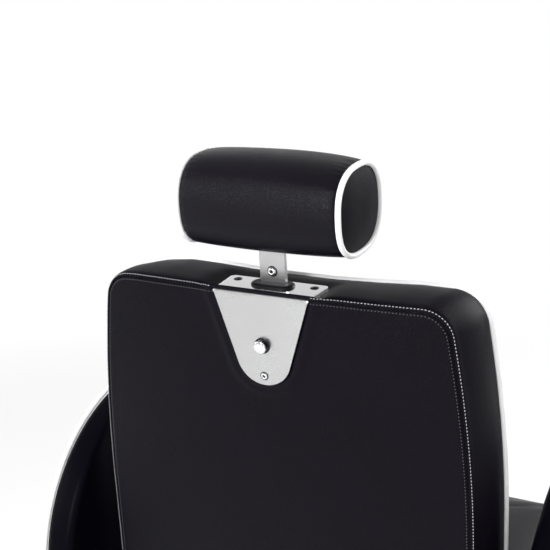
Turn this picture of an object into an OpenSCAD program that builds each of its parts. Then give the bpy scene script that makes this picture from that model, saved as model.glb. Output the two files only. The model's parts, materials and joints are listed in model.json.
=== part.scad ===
// Hydraulic barber chair with round padded arms, a reclining back, a linked
// legrest with a flip-up footplate and a bolster headrest on a sliding bar.
// Millimetres. The chair faces -Y, +Z is up, and the origin is on the floor
// below the column. The chair stands at its lowest height, with the back up.

/* [Base] */
// Diameter of the whole base over its edge trim
base_d = 650; // [600:5:700]
// Thickness of the steel floor plate
floor_plate_t = 12; // [8:1:16]
// Height of the dome's crown above the floor plate
dome_rise = 46; // [40:1:56]
// Sheet thickness of the dome
dome_t = 2; // [1.5:0.25:3]
// Width of the edge trim, measured from the rim inwards
trim_w = 7; // [5:1:10]
// Gap between the trim and the floor
trim_lift = 1; // [0.5:0.5:2]

/* [Pump] */
// Outer radius of the pump cylinder
pump_r = 45; // [42:1:52]
// Top of the pump cylinder above the floor
pump_top = 270; // [262:1:272]
// Wall of the pump cylinder
pump_wall = 12; // [9:0.5:14]
// Radius of the pump's foot flange
pump_flange_r = 70; // [66:1:78]
// Thickness of the pump's foot flange
pump_flange_t = 10; // [8:1:12]
// Radius of the ram
ram_r = 27.5; // [25:0.5:29]
// Travel of the lift
lift_travel = 150; // [110:5:155]
// Height of the gland ring on the pump
gland_h = 16; // [12:1:18]
// Radius of the swivel spigot on the ram
spigot_r = 20; // [17:0.5:22]
// Thickness of the bronze swivel washer
washer_t = 3; // [2:0.5:4]
// Foot bolt shank radius
foot_bolt_r = 6; // [5:0.5:7]

/* [Pedal] */
// Distance of the pedal's pivot behind the column
pedal_pivot_y = 60; // [58:1:64]
// Height of the pedal's pivot
pedal_pivot_z = 176; // [170:1:182]
// Radius of the pedal's pivot pin
pedal_pin_r = 5; // [4:0.5:6]
// Width of the pedal lever
pedal_w = 16; // [12:1:18]
// Distance of the foot pad's centre behind the column
pedal_pad_y = 330; // [310:5:340]
// Height of the lever below the foot pad
pedal_pad_z = 88; // [84:1:92]
// Width of the foot pad
pad_w = 96; // [80:2:120]
// Radius of the pump plunger
plunger_r = 8; // [7:0.5:9]
// Distance of the plunger behind the pedal's pivot
plunger_gap = 20; // [18:1:22]

/* [Seat] */
// Underside of the seat frame above the floor
frame_z = 343; // [340:1:350]
// Outer size of the square frame tube
tube = 30; // [26:1:32]
// Wall of the frame tube
tube_wall = 2.5; // [2:0.25:3]
// Distance of each side rail's centre inside the seat cushion's edge
rail_set_in = 60; // [50:1:64]
// Thickness of the plywood seat board
seat_board_t = 15; // [12:1:18]
// Width of the seat cushion
seat_w = 600; // [560:4:640]
// Depth of the seat cushion
seat_depth = 468; // [450:2:470]
// Thickness of the seat cushion
seat_t = 142; // [120:2:150]
// Corner radius of the seat cushion
seat_corner = 60; // [40:5:80]
// Rear edge of the seat cushion behind the column
seat_rear_y = 183; // [170:1:184]
// Width of the mount plate below the frame
mount_w = 220; // [200:5:240]
// Thickness of the mount plate
mount_t = 8; // [6:1:10]

/* [Arms] */
// Radius of the arm panel's round ends
arm_r = 245; // [225:0.5:250]
// Distance between the centres of the two round ends
arm_straight = 100; // [60:5:140]
// Height of the arm's lowest edge
arm_bottom = 290; // [286:1:300]
// Distance of the rear round end's centre behind the column
arm_y = 105; // [95:1:110]
// Gap between the seat cushion and each arm
arm_gap = 24; // [18:1:32]
// Thickness of the padded arm
arm_t = 48; // [40:1:60]
// Thickness of the arm's plywood board
arm_board_t = 18; // [15:1:21]
// Padding between the board's edge and the arm's rim
arm_rim_pad = 16; // [10:1:24]
// Radius of the arm bolts
arm_bolt_r = 5; // [4:0.5:6]

/* [Back] */
// Backward lean of the upright back in degrees
back_tilt = 6.8; // [4:0.2:9]
// Top rear edge of the back, behind the column
back_top_y = 360; // [350:1:365]
// Top rear edge of the back, above the floor
back_top_z = 1000; // [980:1:1020]
// Length of the back below that edge
back_length = 530; // [515:1:535]
// How much narrower than the seat the back's rear face is on each side
back_set_in = 34.5; // [30:0.5:50]
// Amount by which each side draws in at the shoulders
back_taper = 22; // [10:1:30]
// Thickness of the whole back
back_t = 104; // [98:1:108]
// Amount by which the front outline is wider on each side
back_flare = 15.5; // [8:0.5:22]
// Amount by which the front's top edge is lower
back_front_drop = 13; // [5:1:20]
// Radius of the shoulders at the rear face
shoulder_r = 40; // [34:1:50]
// Thickness of the upholstered rear panel
back_panel_t = 14; // [12:1:16]
// Depth of the wooden frame inside the back
back_core_t = 38; // [36:1:40]
// Recline range in degrees
recline_range = 45; // [30:1:45]
// Thickness of the back irons
iron_t = 8; // [6:1:8]
// Radius of the recline pins
recline_pin_r = 8; // [6:0.5:9]

/* [Legrest] */
// Distance of the legrest's pivot ahead of the column
legrest_y = 270; // [268:1:275]
// Height of the legrest's pivot
legrest_z = 350; // [346:1:352]
// Forward hang of the legrest in degrees
legrest_hang = 12; // [8:0.5:14]
// Thickness of the legrest's side bars
leg_bar_t = 8; // [6:1:8]
// Width of the calf pad
calf_w = 430; // [400:5:430]
// Length of the calf pad
calf_len = 175; // [150:5:178]
// Thickness of the calf pad
calf_t = 50; // [36:1:52]
// Thickness of the calf pad's board
calf_board_t = 12; // [10:1:14]
// Width of the footplate
footplate_w = 360; // [320:5:380]
// Depth of the footplate
footplate_depth = 152; // [130:2:165]
// Thickness of the footplate
footplate_t = 6; // [5:0.5:7]
// Radius of the footplate's hinge pin
foot_pin_r = 6; // [5:0.5:6.5]

/* [Recline linkage] */
// Length of the two parallel cranks
crank_len = 70; // [64:1:72]
// Height of the link bar
link_h = 18; // [14:1:20]
// Thickness of the link bar
link_t = 6; // [5:0.5:7]
// Length of the gas spring's crank
gas_crank = 65; // [62:1:66]
// Radius of the gas spring's cylinder
gas_r = 11; // [9:0.5:12]
// Radius of the gas spring's rod
gas_rod_r = 5; // [4:0.5:5.5]
// Distance of the gas spring inside the right back iron
gas_set_in = 26.5; // [25:0.5:30]

/* [Release lever] */
// Distance of the lever's shaft behind the column
lever_y = 60; // [40:1:80]
// Distance of the lever's shaft below the arms
lever_drop = 16; // [14:1:24]
// Radius of the lever's shaft
lever_r = 6; // [5:0.5:6.5]
// Length of the lever's handle
lever_len = 120; // [100:5:140]

/* [Headrest] */
// Distance between the two piped ends of the bolster
bolster_w = 220; // [200:2:260]
// Height of the bolster at its ends
bolster_h = 112; // [104:1:120]
// Depth of the bolster, front to back
bolster_d = 125; // [110:1:130]
// Swell of the bolster's middle beyond its ends
bolster_crown = 5; // [2:0.5:8]
// Height of the bolster's centre above the back's top edge
bolster_v = 100; // [96:1:112]
// Distance of the bolster's centre ahead of the back's rear face
bolster_w0 = 58; // [52:1:62]
// Width of the headrest bar
bar_w = 35; // [30:1:38]
// Thickness of the headrest bar
bar_t = 6; // [5:0.5:6.5]
// Distance of the bar's rear face ahead of the back's rear face
bar_set = 33.5; // [32:0.5:36]
// Travel of the headrest bar upwards
bar_up = 100; // [60:5:100]
// Travel of the headrest bar downwards
bar_down = 6; // [2:1:6]

/* [Headrest plate] */
// Thickness of the polished plate
plate_t = 2.2; // [1.5:0.1:3]
// Width of the plate along its bend
plate_w = 132; // [120:1:136]
// Depth of the plate's top flange
flange_d = 52; // [48:1:54]
// Widening of the flange at its front
flange_widen = 6; // [2:1:8]
// Height of the drop down to its lowest point
plate_drop = 120; // [112:1:128]
// Radius of the round tip of the drop
plate_tip_r = 38; // [32:1:42]
// Distance of the release button below the bend
button_v = 67; // [62:1:70]
// Radius of the button's dome
button_r = 8; // [7:0.5:9]
// Travel of the button
button_travel = 3; // [2:0.5:3.5]
// Distance of the lower screw below the bend
tip_screw_v = 108; // [104:1:110]

/* [Trim] */
// Radius of the piping cord
piping_r = 4; // [2.5:0.25:4.5]

/* [Fits] */
// Radial clearance of running fits
run_fit = 0.05; // [0.02:0.01:0.08]
// Gap beside parts that turn next to each other
side_gap = 0.5; // [0.4:0.1:0.8]
// Gap between soft pieces and what moves past them
soft_gap = 0.3; // [0.3:0.1:0.6]

/* [Hidden] */
$fn = 64;
sides = 8; // sides of a piping cord's section
far = 500; // longer than any cut has to reach
bolt_gap = 0.3; // radial gap round a bolt's shank
hair = 0.01; // thickness of the thin slices that shape a pad
seam_gap = 0.2; // gap between pieces sewn or glued together
rebate = piping_r + 1; // depth of the corner a piping cord lies in
cord_set = rebate - piping_r - seam_gap;

base_r = base_d / 2;
dome_edge_r = base_r - trim_w;
dome_hole_r = pump_r + 1.5;
dome_ball_z = floor_plate_t + (dome_rise * dome_rise + dome_hole_r * dome_hole_r
    - dome_edge_r * dome_edge_r) / (2 * dome_rise);
dome_ball_r = norm([dome_edge_r, floor_plate_t - dome_ball_z]);
dome_top = floor_plate_t + dome_rise;
collar_t = 6;
boss_z = dome_top + collar_t + 6;
boss_top = pedal_pivot_z - 26;
plunger_y = pedal_pivot_y + plunger_gap;
boss_r = plunger_r + 8;
plunger_top = pedal_pivot_z - 14;
foot_bolt_ring = pump_flange_r - 12;
piston_r = pump_r - pump_wall - run_fit;
ram_bottom = floor_plate_t + pump_flange_t + 38;
gland_top = pump_top + gland_h;
shoulder_z = gland_top + 20;
mount_z = frame_z - mount_t;
hub_z = shoulder_z + washer_t;
spigot_top = frame_z - 2;
mount_bolt_x = 80;
mount_bolt_y = 85;
mount_bolt_r = 5;

rail_x = seat_w / 2 - rail_set_in;
arm_inner_x = seat_w / 2 + arm_gap;
arm_z = arm_bottom + arm_r;
back_half_w = seat_w / 2 - back_set_in;
lever_z = arm_bottom - lever_drop;

mount_edge = 17; // metal beyond the mount bolts
mount_corner = 16;
hub_wall = 20;
hub_rib_t = 8;
hub_rib_len = 48;
board_z = frame_z + tube;
cushion_z = board_z + seat_board_t;
seat_front_y = seat_rear_y - seat_depth;
seat_seam_low = 20;
seat_seam_top = seat_t - 30;
seat_board_in = 12;
seat_round = 14; // height of the cushion's rounded top edge
seat_crown_in = 30;
rail_front = -250;
rail_end = 5; // length of rail behind the recline pivot
lug_r = 19;
lug_foot_r = 14;
lug_lean = 22;
lug_foot_back = 40;
lug_foot_len = 44;
rail_in = rail_x - tube / 2;
cross_y = [rail_front + tube / 2, -mount_bolt_y, mount_bolt_y, 140];

pivot = [235, 400];
rail_rear = pivot[0] + rail_end;
iron_x = rail_in - 8 - side_gap;
crank_lean = recline_range / 2;
leg_pivot = [-legrest_y, legrest_z];
leg_x = iron_x - iron_t - side_gap;
link_x = leg_x - leg_bar_t - side_gap;
leg_down = [-sin(legrest_hang), -cos(legrest_hang)];
leg_out = [-cos(legrest_hang), sin(legrest_hang)];
crank_dir = [sin(crank_lean), -cos(crank_lean)];
link_rear = pivot + crank_len * crank_dir;
link_front = leg_pivot + crank_len * crank_dir;
link_pin_r = 6;
open_gap = 0.6; // radial clearance of the link's front pivot
foot_z = 140;
leg_knee = [leg_pivot[0] - 44, foot_z];
foot_pivot = [leg_pivot[0] - 138, foot_z];
leg_lug_r = 16;
leg_bar_r = 12;
leg_cross_v = [50, 165]; // places of the legrest's two crossbars
leg_cross_h = 24;
foot_barrel_r = foot_pin_r + 5;
lug_t = 8;
leg_lug_x = leg_x + side_gap;
calf_set = 18;
calf_top = 25;
calf_corner = 34;
calf_board_in = [15, 8];
calf_board_corner = 20;
tread_in = 14;
tread_pitch = 20;
tread_w = 10;
tread_t = 4;
calf_seam = calf_t - 22;

gas_x = iron_x - gas_set_in;
gas_lug_r = 13;
gas_lug_t = 6;
gas_lug_in = 20;
gas_lug_drop = 38;
gas_eye_side = 1; // gap at each side of the gas spring's eye
gas_front = [cross_y[0] + gas_lug_in, frame_z - gas_lug_drop];
gas_rear = pivot + gas_crank * crank_dir;
gas_sag = gas_crank * (1 - cos(crank_lean));
gas_aim = gas_rear - [0, gas_sag / 2];
gas_slope = atan2(gas_aim[1] - gas_front[1], gas_aim[0] - gas_front[0]);
gas_len = norm(gas_aim - gas_front);
gas_pin_r = 4;
gas_eye_gap = gas_sag / 2 + 0.3;
gas_eye_t = 12;
gas_eye_r = gas_pin_r + gas_eye_gap + 5;
gas_body = 270; // length of the cylinder from its front pin
gas_hold = 64; // length of rod inside the cylinder when the back is up
gas_bore = gas_hold + 86; // depth of the cylinder's bore

arm_front_y = arm_y - arm_straight;
arm_skin = 3;
arm_bolt_reach = arm_board_t;
spacer_z = frame_z + tube / 2;
spacer_y = [arm_y - arm_straight - 123, arm_y + 71];
spacer_r = 14;

lever_x0 = rail_x - 10;
lever_rise = 16;
bracket_x = rail_x + 7; // inner face of the release lever's bracket
bracket_t = 6;
bracket_r = 15;
bush_flange_t = 2;
handle_gap = 17;
handle_t = 5;
handle_x = arm_inner_x + arm_t + handle_gap;
grip_len = 26;
grip_r = 10;

bolster_core_h = 60;
bolster_core_d = 38;
bar_top_v = bolster_v + 18;
bar_bottom_v = -190;
bar_slot_w = 9;
stem_r = 4;
slot_top_v = -button_v + stem_r + bar_down + 2;
slot_bottom_v = -button_v - stem_r - bar_up - 1;
guide_wall = 3;
guide_gap = 0.4;
guide_bottom_v = -150;
guide_half_w = bar_w / 2 + guide_gap + guide_wall;
guide_rear_w = -bar_set + guide_gap + guide_wall;
guide_front_w = -bar_set - bar_t - guide_gap - guide_wall;
bar_mid_w = -bar_set - bar_t / 2;
stop_screw_v = 18;
grommet_h = 4.5;
grommet_half = 29;
grommet_depth = 28;
grommet_w = -33;
plate_screw_u = 54;
plate_screw_w = -40;
small_screw_r = 3;
small_head_r = 5.5;
bush_r = 7.5;
bush_rim_t = 2;
core_window = iron_x;
core_bar = 44; // height of the wooden frame's top and bottom bars
core_front_w = -back_panel_t - back_core_t;
iron_w = -back_panel_t - back_core_t / 2;
iron_half = 14;
iron_boss_r = 18;
iron_top_v = -330; // top of the irons inside the back
iron_bolt_r = 4;
iron_bolt_reach = 24; // depth of the iron bolts in the wood
iron_bolt_v = [-440, -360];
core_inset = 4;
panel_crown = back_panel_t - 5;
back_seam_w = -back_t + 16;
recess_half = plate_w / 2 + flange_widen / 2 + 1.5;

function arc(cx, cy, r, a0, a1, n) = [for (i = [0 : n])
    [cx + r * cos(a0 + (a1 - a0) * i / n), cy + r * sin(a0 + (a1 - a0) * i / n)]];
function mirrored(points) = [for (i = [len(points) - 1 : -1 : 0]) [-points[i][0], points[i][1]]];

// Half width of the back's rear face at height v below its top edge
back_rise = 5; // height of the padding above the plate's bend
back_foot_r = 36;
shoulder_v = back_rise - shoulder_r;
wide_v = -300; // below this height the sides are straight
shoulder_a = atan(2 * back_taper / (shoulder_v - wide_v)); // slope of the side at the shoulder
function back_side(v) = back_half_w
    - back_taper * pow(max(0, v - wide_v) / (shoulder_v - wide_v), 2);

// Outline of the back: t is 0 at the rear face and 1 at the front, inset draws it in
function back_right(t, inset) =
    let (grow = back_flare * t - inset, top = back_rise - back_front_drop * t - inset,
        r = max(6, shoulder_r - inset), foot = -back_length + inset,
        foot_r = max(6, back_foot_r - inset), v0 = top - r * (1 - sin(shoulder_a)))
    concat(
        arc(back_side(foot) + grow - foot_r, foot + foot_r, foot_r, -90, 0, 6),
        [for (v = [-420 : 60 : v0 - 20]) [back_side(v) + grow, v]],
        arc(back_side(v0) + grow - r * cos(shoulder_a), v0 - r * sin(shoulder_a), r, shoulder_a, 90, 8));
function back_outline(t, inset) = concat(back_right(t, inset), mirrored(back_right(t, inset)));

// A squared oval, the bolster's section, as depth and height
function bolster_point(a, grow) = [
    sign(cos(a)) * pow(abs(cos(a)), 0.8) * (bolster_d / 2 + grow),
    sign(sin(a)) * pow(abs(sin(a)), 0.8) * (bolster_h / 2 + grow)];
function bolster_outline(grow) = [for (i = [0 : 47]) bolster_point(360 * i / 48, grow)];

function rounded_rect(w, d, r, n = 6) = let (x = w / 2 - r, y = d / 2 - r) concat(
    arc(x, -y, r, -90, 0, n), arc(x, y, r, 0, 90, n),
    arc(-x, y, r, 90, 180, n), arc(-x, -y, r, 180, 270, n));

// Tangent point on the tip's circle of a line from the corner (a, 0)
function tip_tangent(a, c, r) = let (d = norm([a, c]), b = atan2(-c, -a) + asin(r / d),
    l = sqrt(d * d - r * r)) [a + l * cos(b), l * sin(b)];

// The back's own frame: x across, y rearwards from its rear face, z up along it
module on_back() {
    translate([0, back_top_y, back_top_z]) rotate([-back_tilt, 0, 0]) children();
}

module on_legrest() {
    // x across, y towards the front of the pad, z down along the side bars
    translate([0, leg_pivot[0], leg_pivot[1]]) rotate([180 - legrest_hang, 0, 0]) children();
}

module x_rod(x0, x1, r, at = [0, 0]) {
    translate([x0, at[0], at[1]]) rotate([0, 90, 0]) cylinder(h = x1 - x0, r = r);
}

// A flat plate in the Y-Z plane, from x0 to x0 + t
module side_plate(x0, t) {
    translate([x0, 0, 0]) rotate([90, 0, 90]) linear_extrude(t) children();
}

module slot_2d(a, ra, b, rb) {
    hull() {
        translate(a) circle(ra, $fn = 32);
        translate(b) circle(rb, $fn = 32);
    }
}

// A slice of the back, from w forwards by t
module back_slab(w, t, inset = 0) {
    translate([0, w, 0]) rotate([90, 0, 0])
        linear_extrude(t) polygon(back_outline(-w / back_t, inset));
}

// A closed round cord of radius r along a closed path of points
module cord(path, r) {
    n = len(path);
    function dir(i) = let (d = path[(i + 1) % n] - path[(i + n - 1) % n]) d / norm(d);
    function lift(i, up) = let (d = dir(i), s = cross(d, up)) [s / norm(s), cross(s / norm(s), d)];
    flat = cross(path[1] - path[0], path[floor(n / 3)] - path[0]);
    up = flat / norm(flat);
    points = [for (i = [0 : n - 1], j = [0 : sides - 1]) let (f = lift(i, up))
        path[i] + r * (cos(360 * j / sides) * f[0] + sin(360 * j / sides) * f[1])];
    faces = [for (i = [0 : n - 1], j = [0 : sides - 1]) let (i2 = (i + 1) % n, j2 = (j + 1) % sides)
        [i * sides + j, i * sides + j2, i2 * sides + j2, i2 * sides + j]];
    polyhedron(points, faces);
}

module hex_bolt(r, length, head_h) {
    cylinder(h = head_h, r = r * 1.75, $fn = 6);
    translate([0, 0, -length]) cylinder(h = length, r = r);
}

// ---- base ----

module floor_plate() color("dimgray") difference() {
    cylinder(h = floor_plate_t, r = dome_edge_r, $fn = 96);
    foot_bolt_places() translate([0, 0, -1]) cylinder(h = floor_plate_t + 2, r = foot_bolt_r + bolt_gap);
}

module base_trim() color("black") rotate_extrude($fn = 96)
    polygon(concat([[dome_edge_r, trim_lift], [dome_edge_r, floor_plate_t + dome_t]],
        arc(base_r - trim_round, floor_plate_t + dome_t - trim_round, trim_round, 90, 0, 5),
        [[base_r, trim_lift]]));

function dome_z(r, inset) = dome_ball_z + sqrt(pow(dome_ball_r - inset, 2) - r * r);
dome_steps = 14;
collar_w = 14;
collar_round = 5;
trim_round = 4;
dome_inner_r = sqrt(pow(dome_ball_r - dome_t, 2) - pow(floor_plate_t - dome_ball_z, 2));

module base_dome() color("silver") rotate_extrude($fn = 96) polygon(concat(
    [for (i = [0 : dome_steps]) let (r = dome_hole_r + (dome_edge_r - dome_hole_r) * i / dome_steps)
        [r, dome_z(r, 0)]],
    [for (i = [dome_steps : -1 : 0])
        let (r = dome_hole_r + (dome_inner_r - dome_hole_r) * i / dome_steps)
        [r, dome_z(r, dome_t)]]));

module dome_collar() color("silver") rotate_extrude($fn = 96) polygon(concat(
    [[dome_hole_r + collar_w, dome_z(dome_hole_r + collar_w, 0)],
        [dome_hole_r, dome_z(dome_hole_r, 0)],
        [pump_r + 0.3, dome_top], [pump_r + 0.3, dome_top + collar_t]],
    arc(dome_hole_r + collar_w - 8, dome_top + collar_t - collar_round, collar_round, 90, 20, 5)));

// ---- pump ----

module foot_bolt_places() {
    for (a = [45 : 90 : 315]) rotate(a) translate([foot_bolt_ring, 0, 0]) children();
}

ear_t = 8;
ear_r = 13;
ear_foot_low = 10;
ear_foot_h = 16;
pump_sink = 8; // depth that the ears and the web reach into the cylinder's wall
web_w = 20;
piston_set = 18;
piston_h = 24;
oil_room = 10;
boss_floor = 12;
plunger_low = boss_z + boss_floor + 22;
plunger_cap_t = 4;

module pump_ears() {
    for (side = [-1, 1]) translate([side * (pedal_w / 2 + side_gap + ear_t / 2), 0, 0]) {
        x_rod(-ear_t / 2, ear_t / 2, ear_r, [pedal_pivot_y, pedal_pivot_z]);
        translate([-ear_t / 2, pump_r - pump_sink, boss_top - ear_foot_low])
            cube([ear_t, pedal_pivot_y + ear_r - pump_r + pump_sink, ear_foot_h]);
        translate([-ear_t / 2, pedal_pivot_y - ear_r, boss_top])
            cube([ear_t, 2 * ear_r, pedal_pivot_z - boss_top]);
    }
}

module pump_housing() color("#2a2a2c") difference() {
    union() {
        translate([0, 0, floor_plate_t]) cylinder(h = pump_flange_t, r = pump_flange_r);
        translate([0, 0, floor_plate_t]) cylinder(h = pump_top - floor_plate_t, r = pump_r);
        translate([0, plunger_y, boss_z]) cylinder(h = boss_top - boss_z, r = boss_r);
        translate([-web_w / 2, pump_r - pump_sink, boss_z + 4])
            cube([web_w, plunger_y - pump_r + pump_sink, boss_top - boss_z - 4]);
        pump_ears();
    }
    translate([0, 0, ram_bottom - piston_set - oil_room])
        cylinder(h = pump_top, r = pump_r - pump_wall);
    translate([0, plunger_y, boss_z + boss_floor]) cylinder(h = boss_top, r = plunger_r + run_fit);
    x_rod(-far, far, pedal_pin_r, [pedal_pivot_y, pedal_pivot_z]);
    foot_bolt_places()
        cylinder(h = floor_plate_t + pump_flange_t + 1, r = foot_bolt_r + bolt_gap);
}

module pump_bolts() color("silver") foot_bolt_places()
    translate([0, 0, floor_plate_t + pump_flange_t]) hex_bolt(foot_bolt_r, floor_plate_t + 6, 8);

module gland_ring() color("silver") translate([0, 0, pump_top]) difference() {
    union() {
        cylinder(h = gland_h - 2, r = pump_r + 2);
        cylinder(h = gland_h, r = pump_r - 2);
    }
    translate([0, 0, -1]) cylinder(h = gland_h + 2, r = ram_r + run_fit);
    for (a = [0 : 30 : 330]) rotate(a) translate([pump_r + 3, 0, 3])
        cylinder(h = gland_h, r = 3, $fn = 24);
}

module pedal_pin() color("silver") {
    reach = pedal_w / 2 + side_gap + ear_t;
    x_rod(-reach, reach, pedal_pin_r, [pedal_pivot_y, pedal_pivot_z]);
    x_rod(reach, reach + 4, pedal_pin_r + 3, [pedal_pivot_y, pedal_pivot_z]);
}

module pump_plunger() color("silver") translate([0, plunger_y, 0]) {
    translate([0, 0, plunger_low])
        cylinder(h = plunger_top - plunger_cap_t - plunger_low, r = plunger_r);
    translate([0, 0, plunger_top - plunger_cap_t]) cylinder(h = plunger_cap_t, r = pedal_w / 2);
}

// ---- pedal ----

pedal_knee = 54; // length of the lever's level part behind its pivot
pedal_tail = 60; // length of the lever's level part ahead of the pad's centre
pad_depth = 48;
pad_t = 11;
pad_plate_in = 12;
pad_plate_d = 32;
pad_plate_t = 4;
pad_groove_w = 3;
pedal_boss_r = 12.5;
pedal_end_r = 6;
pedal_path = [[pedal_pivot_y, pedal_pivot_z], [pedal_pivot_y + pedal_knee, pedal_pivot_z - 4],
    [pedal_pad_y - pedal_tail, pedal_pad_z], [pedal_pad_y + pad_depth / 2, pedal_pad_z]];
pedal_radii = [pedal_boss_r, 9, pedal_end_r, pedal_end_r];

module pedal_lever() color("silver") difference() {
    union() {
        side_plate(-pedal_w / 2, pedal_w) for (i = [0 : 2])
            slot_2d(pedal_path[i], pedal_radii[i], pedal_path[i + 1], pedal_radii[i + 1]);
        x_rod(-pedal_w / 2, pedal_w / 2, pedal_boss_r, pedal_path[0]);
        translate([-pad_w / 2 + pad_plate_in, pedal_pad_y - pad_plate_d / 2,
            pedal_pad_z + pedal_end_r - pad_plate_t])
                cube([pad_w - 2 * pad_plate_in, pad_plate_d, pad_plate_t]);
    }
    x_rod(-far, far, pedal_pin_r + run_fit, pedal_path[0]);
}

module pedal_pad() color("#1c1c1e") translate([0, pedal_pad_y, pedal_pad_z + pedal_end_r])
    difference() {
        union() {
            for (s = [-1, 1]) translate([s * (pad_w - pad_depth) / 2, 0, 0])
                cylinder(h = pad_t, r = pad_depth / 2);
            translate([(pad_depth - pad_w) / 2, -pad_depth / 2, 0])
                cube([pad_w - pad_depth, pad_depth, pad_t]);
        }
        for (y = [-15 : 10 : 15])
            translate([-pad_w / 2 - 1, y - pad_groove_w / 2, pad_t - pad_groove_w])
                cube([pad_w + 2, pad_groove_w, pad_groove_w + 1]);
    }

// ---- lift ----

module ram() color("silver") {
    translate([0, 0, ram_bottom - piston_set]) cylinder(h = piston_h, r = piston_r);
    translate([0, 0, ram_bottom]) cylinder(h = shoulder_z - ram_bottom, r = ram_r);
    translate([0, 0, shoulder_z - 1]) cylinder(h = spigot_top - shoulder_z + 1, r = spigot_r);
}

module swivel_washer() color("peru") translate([0, 0, shoulder_z]) difference() {
    cylinder(h = washer_t, r = ram_r + 3);
    translate([0, 0, -1]) cylinder(h = washer_t + 2, r = spigot_r + run_fit);
}

// ---- seat ----

module mount_bolt_places() {
    for (x = [-mount_bolt_x, mount_bolt_x], y = [-mount_bolt_y, mount_bolt_y])
        translate([x, y, 0]) children();
}

module seat_mount() color("#2a2a2c") difference() {
    union() {
        translate([0, 0, mount_z]) linear_extrude(mount_t)
            polygon(rounded_rect(mount_w, 2 * (mount_bolt_y + mount_edge), mount_corner));
        translate([0, 0, hub_z]) cylinder(h = mount_z - hub_z + 1, r = spigot_r + hub_wall);
        for (a = [45 : 90 : 315]) rotate(a)
            translate([spigot_r + hub_wall - 6, -hub_rib_t / 2, hub_z + 8])
                cube([hub_rib_len, hub_rib_t, mount_z - hub_z - 7]);
    }
    translate([0, 0, hub_z - 1]) cylinder(h = far, r = spigot_r + run_fit);
    mount_bolt_places() cylinder(h = far, r = mount_bolt_r + bolt_gap);
}

module mount_bolts() color("silver") mount_bolt_places() {
    translate([0, 0, mount_z]) mirror([0, 0, 1]) hex_bolt(mount_bolt_r, mount_t + tube_wall + 6, 7);
    translate([0, 0, frame_z + tube_wall]) cylinder(h = 8, r = 9, $fn = 6);
}

module tube_between(a, b) {
    d = b - a;
    along = abs(d[1]) > 1 ? [0, 1, 0] : [1, 0, 0];
    across = [1, 1, 1] - along;
    difference() {
        translate(a - across * tube / 2) cube(d + across * tube);
        translate(a - across * (tube / 2 - tube_wall) - along)
            cube(d + across * (tube - 2 * tube_wall) + 2 * along);
    }
}

module rear_lug_2d() {
    slot_2d(pivot, lug_r, [pivot[0] - lug_lean, frame_z + tube - 8], lug_foot_r);
    translate([pivot[0] - lug_foot_back, frame_z + 2]) square([lug_foot_len, tube - 4]);
}

module gas_lug_2d() {
    hull() {
        translate(gas_front) circle(gas_lug_r, $fn = 32);
        translate([cross_y[0] - gas_lug_r, frame_z - 1]) square([2 * gas_lug_r, 1 + tube_wall / 2]);
    }
}

module seat_frame() color("#2a2a2c") difference() {
    union() {
        for (s = [-1, 1]) {
            tube_between([s * rail_x, rail_front, spacer_z], [s * rail_x, rail_rear, spacer_z]);
            side_plate(s > 0 ? iron_x + side_gap : -rail_in, lug_t) rear_lug_2d();
            translate([s > 0 ? leg_lug_x : -leg_lug_x - lug_t, -legrest_y,
                frame_z]) cube([lug_t, legrest_y + rail_front + 2, legrest_z + 14 - frame_z]);
            x_rod(s > 0 ? leg_lug_x : -leg_lug_x - lug_t, s > 0 ? leg_lug_x + lug_t : -leg_lug_x,
                leg_lug_r, leg_pivot);
        }
        for (y = cross_y) tube_between([-rail_in, y, spacer_z], [rail_in, y, spacer_z]);
        for (x = [-gas_x - gas_eye_t / 2 - gas_eye_side - gas_lug_t, -gas_x + gas_eye_t / 2 + gas_eye_side])
            side_plate(x, gas_lug_t) gas_lug_2d();
        translate([-bracket_x - bracket_t, lever_y - bracket_r, lever_z])
            cube([bracket_t, 2 * bracket_r, frame_z - lever_z + tube_wall / 2]);
        x_rod(-bracket_x - bracket_t, -bracket_x, bracket_r, [lever_y, lever_z]);
    }
    for (s = [-1, 1], y = spacer_y)
        x_rod(s * rail_x - tube / 2 - 1, s * rail_x + tube / 2 + 1, arm_bolt_r + bolt_gap, [y, spacer_z]);
    x_rod(-bracket_x - bracket_t - 1, -rail_x, lever_r + 2, [lever_y, lever_z]);
    x_rod(-rail_in - 1, rail_in + 1, recline_pin_r, pivot);
    x_rod(-rail_in - 1, rail_in + 1, recline_pin_r, leg_pivot);
    x_rod(-gas_x - gas_eye_t - gas_lug_t, -gas_x + gas_eye_t + gas_lug_t, gas_pin_r + 1, gas_front);
    mount_bolt_places() translate([0, 0, frame_z - 1]) cylinder(h = 6, r = mount_bolt_r + bolt_gap);
}

module seat_board() color("burlywood") translate([0, (seat_front_y + seat_rear_y) / 2, board_z])
    linear_extrude(seat_board_t)
        polygon(rounded_rect(seat_w - 2 * seat_board_in, seat_depth - 2 * seat_board_in,
            seat_corner - seat_board_in));

module seat_slice(z, inset) {
    translate([0, (seat_front_y + seat_rear_y) / 2, cushion_z + z]) linear_extrude(hair)
        polygon(rounded_rect(seat_w - 2 * inset, seat_depth - 2 * inset, seat_corner - inset));
}

module seat_cushion() color("#1d1b1f") {
    hull() {
        seat_slice(0, rebate + 4);
        seat_slice(seat_seam_low + 4, rebate);
    }
    hull() {
        seat_slice(seat_seam_low, 0);
        seat_slice(seat_seam_top - hair, 0);
    }
    hull() {
        seat_slice(seat_seam_top - 4, rebate);
        seat_slice(seat_t - seat_round, rebate);
        seat_slice(seat_t - 5, rebate + 6);
        seat_slice(seat_t - hair, seat_crown_in);
    }
}

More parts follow.
